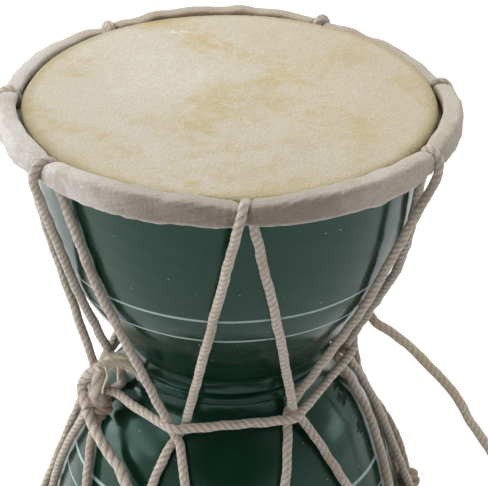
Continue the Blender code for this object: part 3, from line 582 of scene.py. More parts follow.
def rope_grid(path, reference, diameter, lay, strands=3, depth=0.17, columns=18, seed=1, swell=1.0):
    """A laid rope round a path.

    The radius at angle t and length s is R (1 - depth + depth sqrt(1 - w^2)), where w runs from -1 to 1
    across each strand and the strands turn once round in a lay; soft uneven swelling is added.
    """
    s = route_length(path)
    _, side, across = frames(path, reference)
    drift = 0.035 * diameter
    path = path + drift * wander(s, seed, 30, 110)[:, None] * side
    path = path + drift * wander(s, seed + 1, 30, 110)[:, None] * across
    angle = np.arange(columns) * 2 * np.pi / columns
    uneven = 0.10 * wander(s, seed + 2, 12, 60)
    turn = angle[None] - (2 * np.pi * s / lay)[:, None] - uneven[:, None]
    w = 2.0 * ((turn * strands / (2 * np.pi)) % 1.0) - 1.0
    lobe = np.sqrt(np.clip(1.0 - 0.96 * w**2, 0.0, 1.0))
    size = 1.0 + 0.035 * wander(s, seed + 3, 20, 160) + 0.012 * wander(s, seed + 4, 300, 700)
    radius = 0.5 * diameter * (1.0 - depth + depth * lobe) * size[:, None]
    radius = radius * np.broadcast_to(swell, s.shape)[:, None]
    points = circled(path[:, None], radius, angle, side[:, None], across[:, None])
    return grid_arrays(points, s, {"groove": w**2})


def hairs(path, diameter, reference, count, longest, thickness, seed, lean=1.0):
    """Stray fibres of a rope: thin bent spikes from its surface, as one set of small grids.

    Each fibre leaves at a random length and angle, and follows out * t + ahead * t^1.4 with some curl.
    """
    draw = np.random.default_rng(seed)
    s = route_length(path)
    at = draw.uniform(0.0, s[-1], count)
    angle = draw.uniform(0.0, 2 * np.pi, count)
    root, ahead, side, across = (sampled(at, s, values) for values in (path, *frames(path, reference)))
    ahead, out = unit(ahead), unit(circled(0.0, 1.0, angle, side, across))
    length = longest * draw.uniform(0.25, 1.0, count)[:, None] ** 1.6
    sense = np.sign(draw.uniform(-0.35, 1.0, count))[:, None] * lean
    curl = draw.normal(0.0, 0.6, (count, 3))
    t = np.linspace(0.0, 1.0, 4)
    line = (
        root[:, None]
        + out[:, None] * (0.42 * diameter + length * 0.55 * t)[..., None]
        + ahead[:, None] * (sense * length * t**1.4)[..., None]
        + curl[:, None] * (length * 0.45 * t**2)[..., None]
    )
    line[..., 2] = np.maximum(line[..., 2], thickness)
    return spikes(line, thickness)


def spikes(line, thickness):
    """Thin three-sided spikes along lines (count, steps, 3) that taper to their tips."""
    count, steps = line.shape[:2]
    ahead = unit(np.gradient(line, axis=1))
    helper = np.where(np.abs(ahead[..., 2:]) < 0.9, UP, np.array([1.0, 0.0, 0.0]))
    side = unit(np.cross(ahead, helper))
    across = np.cross(ahead, side)
    angle = np.arange(3) * 2 * np.pi / 3
    taper = np.broadcast_to(thickness * (1.0 - 0.75 * np.linspace(0, 1, steps)), (count, steps))
    ring = circled(line[:, :, None], taper[..., None], angle, side[:, :, None], across[:, :, None])
    i, j = grid_faces(steps - 1, 3)
    one = i * 3 + j % 3
    base = np.arange(count)[:, None] * steps * 3
    quads = (one[None] + base[..., None]).reshape(-1, 4)
    ends = np.concatenate([base + (2, 1, 0), base + (steps - 1) * 3 + (0, 1, 2)])
    quad_uv = np.zeros((len(quads), 4, 2))
    quad_uv[..., 0] = np.repeat(np.arange(count), len(one))[:, None] * 0.01
    values = {"groove": np.zeros(ring.size // 3)}
    return ring.reshape(-1, 3), quads, ends, quad_uv, np.zeros((len(ends), 3, 2)), values


def knot_grids(centre, direction, radius, length, thick, turns, lay, seed):
    """A wound knot: a helix of rope whose two ends turn in to the axis, and a plain core inside it."""
    axis = unit(np.array(direction, float))
    side = square_to(axis)
    t = np.linspace(0.0, 1.0, int(28 * turns) + 1)
    edge = np.clip(np.minimum(t, 1 - t) * turns * 3.0, 0.0, 1.0)
    reach = (radius - thick / 2) * (0.25 + 0.75 * np.sin(edge * np.pi / 2))
    wound = circled(centre, reach, 2 * np.pi * turns * t, side, np.cross(axis, side))
    path = softened(wound + ((0.5 - t) * (length - thick))[:, None] * axis, STEP, 0.8 * MM)
    core = centre + np.linspace(-0.42, 0.42, 12)[:, None] * length * axis
    swell = np.sqrt(1.0 - np.linspace(-0.93, 0.93, 12) ** 2)
    return [
        rope_grid(path, axis, thick, lay, seed=seed),
        rope_grid(core, side, 2 * (radius - 0.8 * thick), lay, seed=seed + 5, swell=swell),
    ]


# ---------------------------------------------------------------- material nodes

def colour(red, green, blue):
    """A colour as it looks on screen, 0 to 255, in the shader's own numbers."""
    c = np.array([red, green, blue]) / 255.0
    linear = np.where(c <= 0.04045, c / 12.92, ((c + 0.055) / 1.055) ** 2.4)
    return (*(float(x) for x in linear), 1.0)


class Nodes:
    """Short ways to place and link nodes in a tree."""

    def __init__(self, tree):
        self.tree = tree

    def add(self, kind, **settings):
        """A node with its settings."""
        node = self.tree.nodes.new(kind)
        for key, value in settings.items():
            setattr(node, key, value)
        return node

    def put(self, value, socket):
        """Feeds a socket from another one, or with a plain value; colours are as on screen."""
        if isinstance(value, bpy.types.NodeSocket):
            self.tree.links.new(value, socket)
        else:
            socket.default_value = colour(*value) if socket.type == "RGBA" else value

    def fill(self, node, **values):
        """Feeds a node's sockets by name, with _ for a space; gives its outputs."""
        for key, value in values.items():
            self.put(value, node.inputs[key.replace("_", " ")])
        return node.outputs

    def feed(self, node, *values):
        """Feeds a node's first sockets in their order; gives its outputs."""
        for value, socket in zip(values, node.inputs):
            self.put(value, socket)
        return node.outputs

    def math(self, operation, *values):
        """A Math node's result."""
        return self.feed(self.add("ShaderNodeMath", operation=operation), *values)[0]

    def vector(self, operation, *values):
        """A Vector Math node's outputs."""
        return self.feed(self.add("ShaderNodeVectorMath", operation=operation), *values)

    def times(self, a, b):
        """The product of two values."""
        return self.math("MULTIPLY", a, b)

    def total(self, *terms):
        """The sum of terms, each a value and its weight."""
        result = 0.0
        for value, weight in terms:
            result = self.math("ADD", self.times(value, weight), result)
        return result

    def mix(self, share, a, b):
        """A colour mixed from two."""
        node = self.add("ShaderNodeMix", data_type="RGBA")
        for value, socket in zip((share, a, b), (0, 6, 7)):
            self.put(value, node.inputs[socket])
        return node.outputs[2]

    def over(self, under, laid, mask, share=None):
        """A colour laid over another where a mask is, or where a share of it is."""
        return self.mix(mask if share is None else self.times(mask, share), under, laid)

    def spread(self, value, low, high, start=0.0, end=1.0):
        """A value spread smoothly from one range to another, and held at its ends."""
        node = self.add("ShaderNodeMapRange", interpolation_type="SMOOTHSTEP")
        return self.feed(node, value, low, high, start, end)[0]

    def noise(self, where, scale, detail=3.0, rough=0.55, distort=0.0):
        """A noise texture's value."""
        node = self.add("ShaderNodeTexNoise")
        self.fill(node, Vector=where, Scale=scale, Detail=detail, Roughness=rough, Distortion=distort)
        return node.outputs["Fac"]

    def cells(self, where, scale):
        """A cell texture's outputs."""
        return self.fill(self.add("ShaderNodeTexVoronoi", feature="F1"), Vector=where, Scale=scale)

    def parts(self, where):
        """The x, y and z of a vector."""
        return list(self.feed(self.add("ShaderNodeSeparateXYZ"), where))

    def flat(self, where):
        """Coordinates with a height of 0."""
        return self.vector("MULTIPLY", where, (1.0, 1.0, 0.0))[0]

    def stretched(self, where, scale):
        """Coordinates stretched along the axes."""
        return self.fill(self.add("ShaderNodeMapping"), Vector=where, Scale=scale)[0]

    def shaken(self, where, scale, amount):
        """Coordinates moved about by a noise texture."""
        moves = self.fill(self.add("ShaderNodeTexNoise"), Vector=where, Scale=scale)["Color"]
        return self.vector("MULTIPLY_ADD", moves, (amount, amount, amount), where)[0]

    def spot(self, where, point, radius, soft):
        """A mask that is 1 within a radius of a point and fades over a soft edge."""
        return self.spread(self.vector("DISTANCE", where, point)["Value"], radius + soft, radius - soft)

    def attribute(self, name):
        """A mesh attribute's value."""
        return self.add("ShaderNodeAttribute", attribute_name=name).outputs["Fac"]

    def group(self, tree, **values):
        """A node group's outputs, with its inputs set."""
        return self.fill(self.add("ShaderNodeGroup", node_tree=tree), **values)


def new_group(name, inputs, outputs):
    """A shader node group. Its sockets have a kind each, or an input has the number it starts at."""
    tree = bpy.data.node_groups.new(name, "ShaderNodeTree")
    kinds = {"value": "NodeSocketFloat", "colour": "NodeSocketColor", "vector": "NodeSocketVector"}
    for label, kind in inputs.items():
        socket_type = kinds.get(kind, "NodeSocketFloat")
        socket = tree.interface.new_socket(label, in_out="INPUT", socket_type=socket_type)
        if kind not in kinds:
            socket.default_value = kind
    for label, kind in outputs.items():
        tree.interface.new_socket(label, in_out="OUTPUT", socket_type=kinds[kind])
    n = Nodes(tree)
    return tree, n, n.add("NodeGroupInput").outputs, n.add("NodeGroupOutput").inputs


def make_mottle_group():
    """Uneven staining: large and small noise blended into a mask, which mixes three colours."""
    tree, n, given, out = new_group(
        "mottled stain",
        {"Where": "vector", "Base": "colour", "Stain": "colour", "Pale": "colour", "Patch size": 30.0,
         "Speckle size": 400.0, "Stain share": 0.5, "Pale share": 0.3},
        {"Colour": "colour", "Mask": "value"},
    )
    large = n.noise(given["Where"], given["Patch size"], 4.0, 0.6, 0.6)
    small = n.noise(given["Where"], given["Speckle size"], 3.0, 0.65)
    blended = n.total((large, 0.75), (small, 0.25))
    stained = n.over(given["Base"], given["Stain"], n.spread(blended, 0.47, 0.66), given["Stain share"])
    paled = n.over(stained, given["Pale"], n.spread(blended, 0.46, 0.30), given["Pale share"])
    n.put(paled, out["Colour"])
    n.put(blended, out["Mask"])
    return tree


def make_pore_group():
    """Hide grain: small raised cells with creases between them, and fine noise over both."""
    tree, n, given, out = new_group(
        "hide pores",
        {"Where": "vector", "Size": 900.0, "Fine": 2500.0, "Pits": 0.6},
        {"Height": "value", "Pit": "value"},
    )
    cells = n.cells(n.shaken(given["Where"], 260.0, 0.0018), given["Size"])
    pit = n.times(n.spread(cells["Distance"], 0.26, 0.62), given["Pits"])
    fine = n.noise(given["Where"], given["Fine"], 2.0, 0.6)
    n.put(n.math("SUBTRACT", n.times(fine, 0.55), pit), out["Height"])
    n.put(pit, out["Pit"])
    return tree


def make_fibre_group():
    """Cotton lay: painted shade darkens the groove between strands, and thin streaks run along the
    strands.
    """
    tree, n, given, out = new_group(
        "cotton lay",
        {"Along": "vector", "Where": "vector", "Groove": 0.0, "Lit": "colour", "Middle": "colour",
         "Deep": "colour", "Soil": "colour", "Soil share": 0.3},
        {"Colour": "colour", "Height": "value"},
    )
    streak = n.noise(n.stretched(given["Along"], (420.0, 26.0, 1.0)), 1.0, 3.0, 0.7)
    fuzz = n.noise(given["Where"], 2600.0, 2.0, 0.7)
    patch = n.noise(given["Where"], 55.0, 3.0, 0.6)
    tone = n.total((streak, 0.6), (fuzz, 0.4))
    body = n.over(given["Middle"], given["Lit"], n.spread(tone, 0.40, 0.60))
    # Painted shade: the groove between strands is painted with the deep colour
    deep = n.over(body, given["Deep"], n.spread(given["Groove"], 0.10, 1.0), 0.75)
    n.put(n.over(deep, given["Soil"], n.spread(patch, 0.50, 0.72), given["Soil share"]), out["Colour"])
    n.put(n.total((streak, 0.7), (fuzz, 0.5)), out["Height"])
    return tree


def new_material(name):
    """A material with its Principled shader: (material, nodes, shader, Object coordinates)."""
    material = bpy.data.materials.new(name)
    material.use_nodes = True
    n = Nodes(material.node_tree)
    where = n.add("ShaderNodeTexCoord").outputs["Object"]
    return material, n, material.node_tree.nodes["Principled BSDF"], where


def mottled_material(name, mottle):
    """As new_material, with the outputs of the material's mottled stain."""
    material, n, shader, where = new_material(name)
    stain = n.feed(n.add("ShaderNodeGroup", node_tree=mottle), where, *MOTTLES[name])
    return material, n, shader, where, stain


def bump(n, shader, height, distance, strength=1.0):
    """A Bump node from a height into the shader's Normal."""
    made = n.fill(n.add("ShaderNodeBump"), Strength=strength, Distance=distance, Height=height)
    n.put(made[0], shader.inputs["Normal"])


def make_paint(mottle):
    """Glossy dark green paint on turned wood: brush lines, dust specks, pale stripes, black spots."""
    material, n, shader, where, base = mottled_material("painted_wood", mottle)
    height = n.math("SUBTRACT", n.parts(where)[2], STAND_HEIGHT)
    waver = n.times(n.math("SUBTRACT", n.noise(where, 28.0, 2.0), 0.5), 1.1 * MM)
    height = n.math("ADD", height, waver)
    stripe = 0.0
    for level, half in STRIPES:
        apart = n.math("ABSOLUTE", n.math("SUBTRACT", height, level * MM))
        stripe = n.math("MAXIMUM", n.spread(apart, (half + 0.16) * MM, (half - 0.12) * MM), stripe)
    worn = n.spread(n.noise(where, 330.0, 3.0, 0.7), 0.30, 0.46)
    stripe = n.times(stripe, n.math("ADD", n.times(worn, 0.35), 0.62))
    brush = n.noise(n.stretched(where, (16.0, 16.0, 520.0)), 1.0, 4.0, 0.6)
    specks = n.cells(where, 210.0)
    rare = n.spread(n.feed(n.add("ShaderNodeSeparateColor"), specks["Color"])[0], 0.68, 0.72)
    dot = n.times(n.spread(specks["Distance"], 0.075, 0.045), rare)
    painted = n.over(base["Colour"], (178, 190, 184), dot, 0.75)
    painted = n.over(painted, (160, 175, 174), stripe)
    shake, squash = 2.2 * MM, 0.15
    flatter = n.stretched(n.shaken(where, 420.0, shake), (1.0, squash, 1.0))
    drips = 0.0
    for point, radius in DRIPS:
        x, y, z = (number * MM + shake / 2 for number in point)
        drips = n.math("MAXIMUM", n.spot(flatter, (x, squash * y, z), radius * MM, 0.3 * MM), drips)
    sheen = n.spread(n.noise(where, 60.0), 0.35, 0.7, 0.16, 0.30)
    n.fill(
        shader, Base_Color=n.over(painted, (8, 10, 9), drips, 0.85),
        Roughness=n.total((sheen, 1.0), (drips, 0.6), (stripe, 0.10)), Specular_IOR_Level=0.38,
    )
    shader.inputs["Specular Tint"].default_value = (0.62, 1.0, 0.88, 1.0)
    relief = n.total((brush, 0.5), (stripe, 0.5), (n.noise(where, 90.0), 0.9), (dot, 1.2))
    bump(n, shader, relief, 0.08 * MM)
    return material


def make_membrane(mottle, pores):
    """Goat skin: cream with yellower patches, grain where it is rubbed, and a browner turned edge, part
    stain and part painted shade.
    """
    material, n, shader, where, base = mottled_material("goat_skin", mottle)
    x, y, _ = n.parts(where)
    flat = n.flat(where)
    warm = n.spread(n.total((x, 7.5), (y, 1.5), (n.noise(where, 22.0), 0.5)), 0.05, 0.75)
    tone = n.over(base["Colour"], (196, 179, 148), warm, 0.55)
    grain = n.group(pores, Where=n.stretched(where, (1.0, 1.6, 1.0)), Size=860.0, Fine=2300.0, Pits=1.0)
    rubbed = n.total((x, -2.5), (y, -5.0), (n.noise(where, 20.0), 1.1))
    tone = n.over(tone, (152, 142, 122), grain["Pit"], n.spread(rubbed, 0.35, 0.85, 0.05, 0.26))
    # Browner turned edge: partly the skin's stain, partly painted shade where the skin turns down into
    # the gap by the lap
    reach = n.total((n.vector("LENGTH", flat)["Value"], 1.0), (n.noise(where, 60.0), 4.5 * MM))
    tone = n.over(tone, (172, 156, 112), n.spread(reach, 71.2 * MM, 76.6 * MM), 0.75)
    squash = 0.55
    smudge = n.stretched(flat, (squash, 1.0, 1.0))
    white = n.spot(smudge, (SCUFF[0] * squash * MM, SCUFF[1] * MM, 0.0), 1.6 * MM, 2.4 * MM)
    tone = n.over(tone, (240, 240, 240), white, n.spread(n.noise(where, 480.0), 0.42, 0.56))
    pink = n.spot(flat, (PINK_MARK[0] * MM, PINK_MARK[1] * MM, 0.0), 0.7 * MM, 0.5 * MM)
    n.fill(
        shader, Base_Color=n.over(tone, (214, 120, 110), pink, 0.6),
        Roughness=n.spread(base["Mask"], 0.35, 0.65, 0.52, 0.68), Specular_IOR_Level=0.35,
    )
    wrinkles = n.noise(where, 34.0, 4.0, 0.6, 1.2)
    bump(n, shader, n.total((grain["Height"], 0.4), (wrinkles, 1.4)), 0.4 * MM)
    return material


def make_lap_hide(mottle, pores):
    """The lap: the hide's flesh side, greyer and softer, with brown stains, a pale cut edge, painted
    light and shade.
    """
    material, n, shader, where, base = mottled_material("lapped_hide", mottle)
    grain = n.group(pores, Where=where, Size=1000.0, Fine=2000.0, Pits=0.6)
    faced = n.parts(n.vector("NORMALIZE", n.flat(where))[0])
    loose = n.times(n.math("SUBTRACT", n.noise(where, 26.0), 0.5), 0.35)
    right, back = (n.math("ADD", part, loose) for part in faced[:2])
    blots = n.noise(where, 19.0, 4.0, 0.65, 0.8)
    tone = base["Colour"]
    # Painted shade darkens the right side, the front and, browner, the back; painted light makes the left
    # side paler. The blots are stains
    for value, start, full, share, laid in (
        (right, 0.25, 0.95, 1.0, (188, 174, 158)), (right, -0.35, -0.85, 1.0, (208, 202, 198)),
        (back, -0.80, -0.96, 0.9, (148, 134, 122)), (back, 0.35, 0.85, 0.85, (166, 142, 116)),
        (blots, 0.53, 0.70, 0.6, (146, 118, 94)),
    ):
        tone = n.over(tone, laid, n.spread(value, start, full), share)
    # Painted highlight: the crest at the top of the roll is painted lighter
    tone = n.over(tone, (216, 208, 192), n.attribute("crest"), 0.4)
    tone = n.over(tone, (222, 218, 210), n.attribute("cut"), 0.75)
    n.fill(
        shader, Base_Color=n.over(tone, (132, 118, 104), grain["Pit"], 0.3),
        Roughness=n.spread(base["Mask"], 0.35, 0.65, 0.78, 0.92), Specular_IOR_Level=0.25,
        Sheen_Weight=0.15, Sheen_Roughness=0.5,
    )
    creases = n.noise(n.stretched(where, (1.0, 1.0, 0.35)), 230.0, 3.0, 0.6, 0.8)
    bump(n, shader, n.total((grain["Height"], 0.5), (creases, 1.0)), 0.4 * MM, 0.9)
    return material


def make_cotton(name, lay, lit, middle, deep, soil, soil_share, relief):
    """Cotton rope: strands by the groove attribute with painted shade in it, streaks along the UV map,
    soiled in patches.
    """
    material, n, shader, where = new_material(name)
    made = n.group(
        lay, Along=n.add("ShaderNodeUVMap", uv_map="along").outputs[0], Where=where,
        Groove=n.attribute("groove"), Lit=lit, Middle=middle, Deep=deep, Soil=soil, Soil_share=soil_share,
    )
    n.fill(
        shader, Base_Color=made["Colour"], Roughness=0.95, Specular_IOR_Level=0.15,
        Sheen_Weight=0.35, Sheen_Roughness=0.6,
    )
    bump(n, shader, made["Height"], relief)
    return material


def make_cane(mottle):
    """Split cane of the hoops: straw brown with long dark fibres."""
    material, n, shader, where, base = mottled_material("cane", mottle)
    fibre = n.noise(n.stretched(where, (60.0, 60.0, 2600.0)), 1.0)
    dark = n.over(base["Colour"], (140, 108, 68), n.spread(fibre, 0.4, 0.7))
    n.fill(shader, Base_Color=dark, Roughness=0.55)
    bump(n, shader, fibre, 0.1 * MM)
    return material


# ---------------------------------------------------------------- pieces

def make_shell(material):
    """The turned body: the outline of both bowls, closed through its bore, a little out of round."""
    outer = bowl_outline(34)
    inner = np.array(
        [
            (RIM_RADIUS - 6.0 * MM, RIM_HEIGHT - 0.4 * MM),
            (RIM_RADIUS - 7.6 * MM, RIM_HEIGHT - 8.0 * MM),
            (SHOULDER_RADIUS - 4.0 * MM, SHOULDER_HEIGHT + 18.0 * MM),
            (SHOULDER_RADIUS - 8.5 * MM, SHOULDER_HEIGHT),
            (SHOULDER_RADIUS - 19.0 * MM, SHOULDER_HEIGHT - 17.0 * MM),
            (28.7 * MM, 22.5 * MM), (17.0 * MM, 19.0 * MM), (15.0 * MM, 16.5 * MM),
        ]
    )
    flip = (1, -1)
    profile = np.vstack([outer[::-1], fuller(outer[1:] * flip), inner * flip, inner[::-1]])

    def bend(radius, height, azimuth):
        """Adds up to about 0.1 mm of slow unevenness to the outer face only."""
        share = azimuth / 360.0
        face = (np.arange(len(profile)) < 2 * len(outer) - 1)[:, None]
        uneven = 0.05 * MM * ripple(share, 3, 2, 9) + 0.03 * MM * ripple(share + 7.0 * height, 4, 5, 21)
        return radius + face * uneven, height

    return lathe("turned_body", profile, 240, material, bend)


def make_membrane_piece(name, side, material):
    """The skin's face and its leg: flat with low ripples that grow towards the rim."""
    top = HALF_HEIGHT
    face = np.linspace(0.0, 72.4, 26)[:, None] * (MM, 0.0) + (0.0, top)
    turn = np.linspace(0.0, np.pi / 2, 9)
    turned = [LEG_RADIUS - 2.5 * MM + 2.5 * MM * np.sin(turn), top - 1.9 * MM + 1.9 * MM * np.cos(turn)]
    leg = np.array([(LEG_RADIUS, top - 3.5 * MM), (LEG_RADIUS, LAP_BOTTOM + 0.3 * MM)])
    back = np.array(
        [(LEG_RADIUS - SKIN, LAP_BOTTOM + 0.3 * MM), (LEG_RADIUS - SKIN, top - 2.2 * MM),
         (LEG_RADIUS - 1.5 * MM, top - SKIN - 0.2 * MM), (72.0 * MM, top - SKIN), (0.0, top - SKIN)]
    )
    profile = np.vstack([face, np.column_stack(turned), leg, back])

    def bend(radius, height, azimuth):
        """Ripples up and down, 0.3 mm at the rim, with shallow pulls towards the lacing points."""
        grow = np.clip(radius / RIM_RADIUS, 0.0, 1.0) ** 5
        lift = 0.16 * MM * ripple(azimuth / 360.0, 11, 3, 14) * grow
        lift = lift - 0.22 * MM * grow * (1.0 - spring(azimuth, side, 1.3))
        outside = (np.arange(len(profile) - 2) < len(profile) - len(back) - 1)[:, None]
        foot = np.clip((top - 3.0 * MM - height) / (2.0 * MM), 0.0, 1.0)
        return radius, side * (height + outside * lift - foot * sink(azimuth, side))

    return lathe(name, profile, 240, material, bend, poles=True)


def rounded(corners, steps):
    """A closed outline with each corner cut three times, which rounds it, at evenly spaced points."""
    points = corners
    for _ in range(3):
        ahead = np.roll(points, -1, axis=0)
        pairs = [0.78 * points + 0.22 * ahead, 0.22 * points + 0.78 * ahead]
        points = np.stack(pairs, axis=1).reshape(-1, 2)
    loop = np.vstack([points, points[:1]])
    along = route_length(loop)
    return sampled(np.linspace(0.0, along[-1], steps, endpoint=False), along, loop)


def make_lap(name, side, material):
    """The skin lapped round its hoop, sprung up between the lacing points and puckered at them."""
    profile = rounded(np.array(LAP_SECTION) * MM, 84)
    # crest marks the top of the roll, where the hide's material paints a highlight
    crest = np.clip((profile[:, 1] - 104.7 * MM) / (0.7 * MM), 0.0, 1.0)
    from_edge = np.hypot(profile[:, 0] - 82.2 * MM, profile[:, 1] - 100.0 * MM)
    cut = np.clip(1.0 - from_edge / (0.9 * MM), 0.0, 1.0)

    def bend(radius, height, azimuth):
        """Springs, bulges, puckers and notches the lap; side -1 turns it upside down."""
        share = azimuth / 360.0
        amount = spring(azimuth, side)
        level = (height - LAP_BOTTOM - SKIN) / (LAP_TOP - LAP_BOTTOM - SKIN)
        held = np.clip(level, 0.0, 1.0)
        reach = np.clip((radius - LEG_RADIUS) / (HOOP_INNER + HOOP_WIDTH - LEG_RADIUS), 0.0, 1.0)
        apart = from_lacing(azimuth, side, LAP_OUTER)
        near = np.exp(-np.abs(apart) / (6.5 * MM))
        press = np.exp(-((apart / (2.6 * MM)) ** 4))
        pucker = np.cos(2 * np.pi * apart / (3.1 * MM) + 1.6 * ripple(share, 21, 6, 20))
        soft = 0.26 * ripple(share + 0.03 * level, 22, 9, 40)
        soft = soft + 0.16 * ripple(share - 0.05 * level, 23, 40, 110)
        grow = LAP_BULGE * amount + soft * MM + 0.34 * MM * near * pucker - 0.25 * MM * press
        slot = 2.7 * MM * press * np.clip((79.3 * MM - radius) / (1.2 * MM), 0.0, 1.0) * (level > 0.45)
        rise = LAP_RISE * amount * level.clip(0.0) + 0.3 * MM * ripple(share, 24, 12, 46) * held
        rise = rise + 0.18 * MM * ripple(share, 25, 18, 60) * (1.0 - held) * reach
        lifted = np.minimum(height + rise, STAND_HEIGHT - 0.02 * MM)
        return radius + grow * reach + slot, side * (lifted - sink(azimuth, side))

    return lathe(name, profile, 720, material, bend, values={"crest": crest, "cut": cut})


def cord_path(rows, spacing):
    """Middle line of a cord from a route of (radius, azimuth, height) rows in millimetres and degrees."""
    return smooth_route(placed(rows), spacing)


def end_knot(path, radius, length, thick, seed, lies):
    """A wound knot on the end of a path, level on the floor if it lies there."""
    ahead = unit(path[-1] - path[-4])
    lift = 0.0
    if lies:
        ahead, lift = unit(ahead * (1, 1, 0)), UP * (radius - path[-1, 2])
    centre = path[-1] + (length / 2 - 0.6 * MM) * ahead + lift
    return joined(knot_grids(centre, ahead, radius, length, thick, 2.4, 9.0 * MM, seed))


def dress(piece, body, slot, *nodes):
    """The piece rides on a body and stands for CAD nodes, which are hidden; the slot is not used."""
    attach(piece, body)
    if nodes:
        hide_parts(*nodes)
    return piece


def add_cotton(name, arrays, material, body, *nodes):
    """A dressed piece of rope."""
    return dress(add_mesh(name, arrays, material), body, "cotton_rope", *nodes)


def add_free_cords(cottons):
    """The limp cords, then the knots at their ends; gives the cords' middle lines."""
    cords = []
    for names, body, look, route, (facing, drawn, lay, depth, columns, seed), *_ in FREE_CORDS:
        path = cord_path(route, STEP)
        path[:, 2] = np.maximum(path[:, 2], ROPE / 2 + 0.1 * MM)
        arrays = rope_grid(path, sideways(facing), drawn, lay, depth=depth, columns=columns, seed=seed)
        cords.append((add_cotton(names[0], arrays, cottons[look], body, names[2]), path))
    for (piece, path), (names, body, look, _, rope, knot, thick, lies) in zip(cords, FREE_CORDS):
        arrays = end_knot(path, *knot, rope[-1] + 10, lies == "loose")
        knotted = add_cotton(names[1], arrays, cottons[look], body, names[3])
    return [path for _, path in cords]


def big_knot_strands():
    """The two strands over the big knot's core, with their fibres."""
    strands = []
    for rows, thick, lay, start, seed in (
        (OVER_STRAND, 4.9 * MM, 13.0 * MM, 0.86, 76), (UPRIGHT_STRAND, 5.0 * MM, 30.0 * MM, 1.0, 77),
    ):
        path = softened(cord_path(rows, STEP), STEP, 0.7 * MM)
        swell = start + (1.0 - start) * np.linspace(0.0, 1.0, len(path))
        facing = outward(296.0)
        strands.append(
            rope_grid(path, facing, thick, lay, depth=0.07, columns=24, seed=seed, swell=swell)
        )
        strands.append(hairs(path, thick, facing, 900, 2.6 * MM, 0.05 * MM, seed + 10))
    return joined(strands)


def frayed_end():
    """The cut end's spread tufts, their fibres and three loose threads."""
    fray = []
    for seed, rows in enumerate(FRAY_TUFTS, 90):
        path = cord_path(rows, 0.5 * MM)
        thin = np.linspace(1.0, 0.30, len(path))
        fray.append(rope_grid(path, UP, 3.4 * MM, 14.0 * MM, columns=16, seed=seed, swell=thin))
        fray.append(hairs(path, 3.0 * MM, UP, 900, 3.0 * MM, 0.07 * MM, seed + 4, lean=0.6))
    for seed, rows in enumerate(FRAY_THREADS, 98):
        path = cord_path(rows, 0.4 * MM)
        fray.append(rope_grid(path, outward(300.0), 0.95 * MM, 2.5 * MM, strands=2, columns=8, seed=seed))
    return joined(fray)


# ---------------------------------------------------------------- floor, lamps and camera

def hold(data, name, right, up, back, where):
    """An object for a lamp or a camera at a place, with its right, up and back directions."""
    holder = bpy.data.objects.new(name, data)
    holder.matrix_world = Matrix([*zip(right, up, back, where), (0, 0, 0, 1)])
    bpy.context.scene.collection.objects.link(holder)
    return holder


def add_lamp(name, where, target, width, height, power):
    """A rectangular soft lamp that points at a target."""
    lamp = bpy.data.lights.new(name, "AREA")
    lamp.shape = "RECTANGLE"
    lamp.size, lamp.size_y = width, height
    lamp.energy = power
    lamp.color = (0.94, 0.975, 1.0)
    back = unit(np.array(where) - np.array(target))
    side = unit(np.cross(UP, back))
    hold(lamp, name, side, np.cross(back, side), back, where)


def add_panel(name, azimuth, rise, wide, tall, level):
    """A bright panel a metre off, at an azimuth and a rise from the drum, with its sizes in degrees."""
    turn, lift = np.radians(azimuth), np.radians(rise)
    target = np.array([0.0, 0.0, 0.10])
    where = target + np.array([np.cos(lift) * np.sin(turn), -np.cos(lift) * np.cos(turn), np.sin(lift)])
    width, height = 2.0 * np.tan(np.radians(wide / 2)), 2.0 * np.tan(np.radians(tall / 2))
    add_lamp(name, where, target, width, height, level * np.pi * width * height)


def make_floor():
    """A white floor that shows a little brighter to the camera and in reflections than it lights."""
    material, n, shader, _ = new_material("floor")
    shader.inputs["Base Color"].default_value = (0.86, 0.86, 0.86, 1.0)
    n.fill(shader, Roughness=1.0, Specular_IOR_Level=0.0)
    path = n.add("ShaderNodeLightPath").outputs
    seen = n.math("MAXIMUM", path["Is Camera Ray"], path["Is Glossy Ray"])
    seen = n.math("MAXIMUM", seen, path["Is Transmission Ray"])
    lift = n.fill(n.add("ShaderNodeEmission"), Strength=n.times(seen, 0.42))
    both = n.feed(n.add("ShaderNodeAddShader"), shader.outputs[0], lift[0])
    n.put(both[0], material.node_tree.nodes["Material Output"].inputs["Surface"])
    corners = 6.0 * np.array([(-1.0, -1.0, 0.0), (1.0, -1.0, 0.0), (1.0, 1.0, 0.0), (-1.0, 1.0, 0.0)])
    quad = np.array([(0, 1, 2, 3)])
    none = np.zeros((0, 3), int)
    arrays = corners, quad, none, np.zeros((1, 4, 2)), np.zeros((0, 3, 2)), {}
    add_mesh("floor", arrays, material)


def make_sky_and_lamps():
    """A soft even sky with a dark part behind the camera, and window-like lamps."""
    world = bpy.data.worlds.new("studio")
    bpy.context.scene.world = world
    world.use_nodes = True
    n = Nodes(world.node_tree)
    direction = n.add("ShaderNodeTexCoord").outputs["Generated"]
    level = n.spread(n.parts(direction)[2], 0.0, 0.6, 1.0, 0.55)
    toward = n.vector("DOT_PRODUCT", direction, (0.06, -0.85, 0.523))["Value"]
    glow = n.times(level, n.spread(toward, 0.80, 0.93, 1.0, 0.06))
    seen = n.add("ShaderNodeLightPath").outputs["Is Camera Ray"]
    strength = n.math("MAXIMUM", glow, seen)
    n.fill(world.node_tree.nodes["Background"], Color=(255, 255, 255), Strength=strength)
    add_lamp("top softbox", (0.15, 0.55, 1.15), (0.0, 0.05, 0.12), 0.8, 0.55, 4.9)
    for name, numbers in PANELS.items():
        add_panel(name, *numbers)


def make_camera():
    """The photograph's camera."""
    lens = bpy.data.cameras.new("camera")
    lens.lens = CAMERA_LENS
    lens.sensor_width = 36.0
    lens.clip_start = 0.05
    lens.clip_end = 50.0
    bpy.context.scene.camera = hold(lens, "camera", *CAMERA_FRAME)


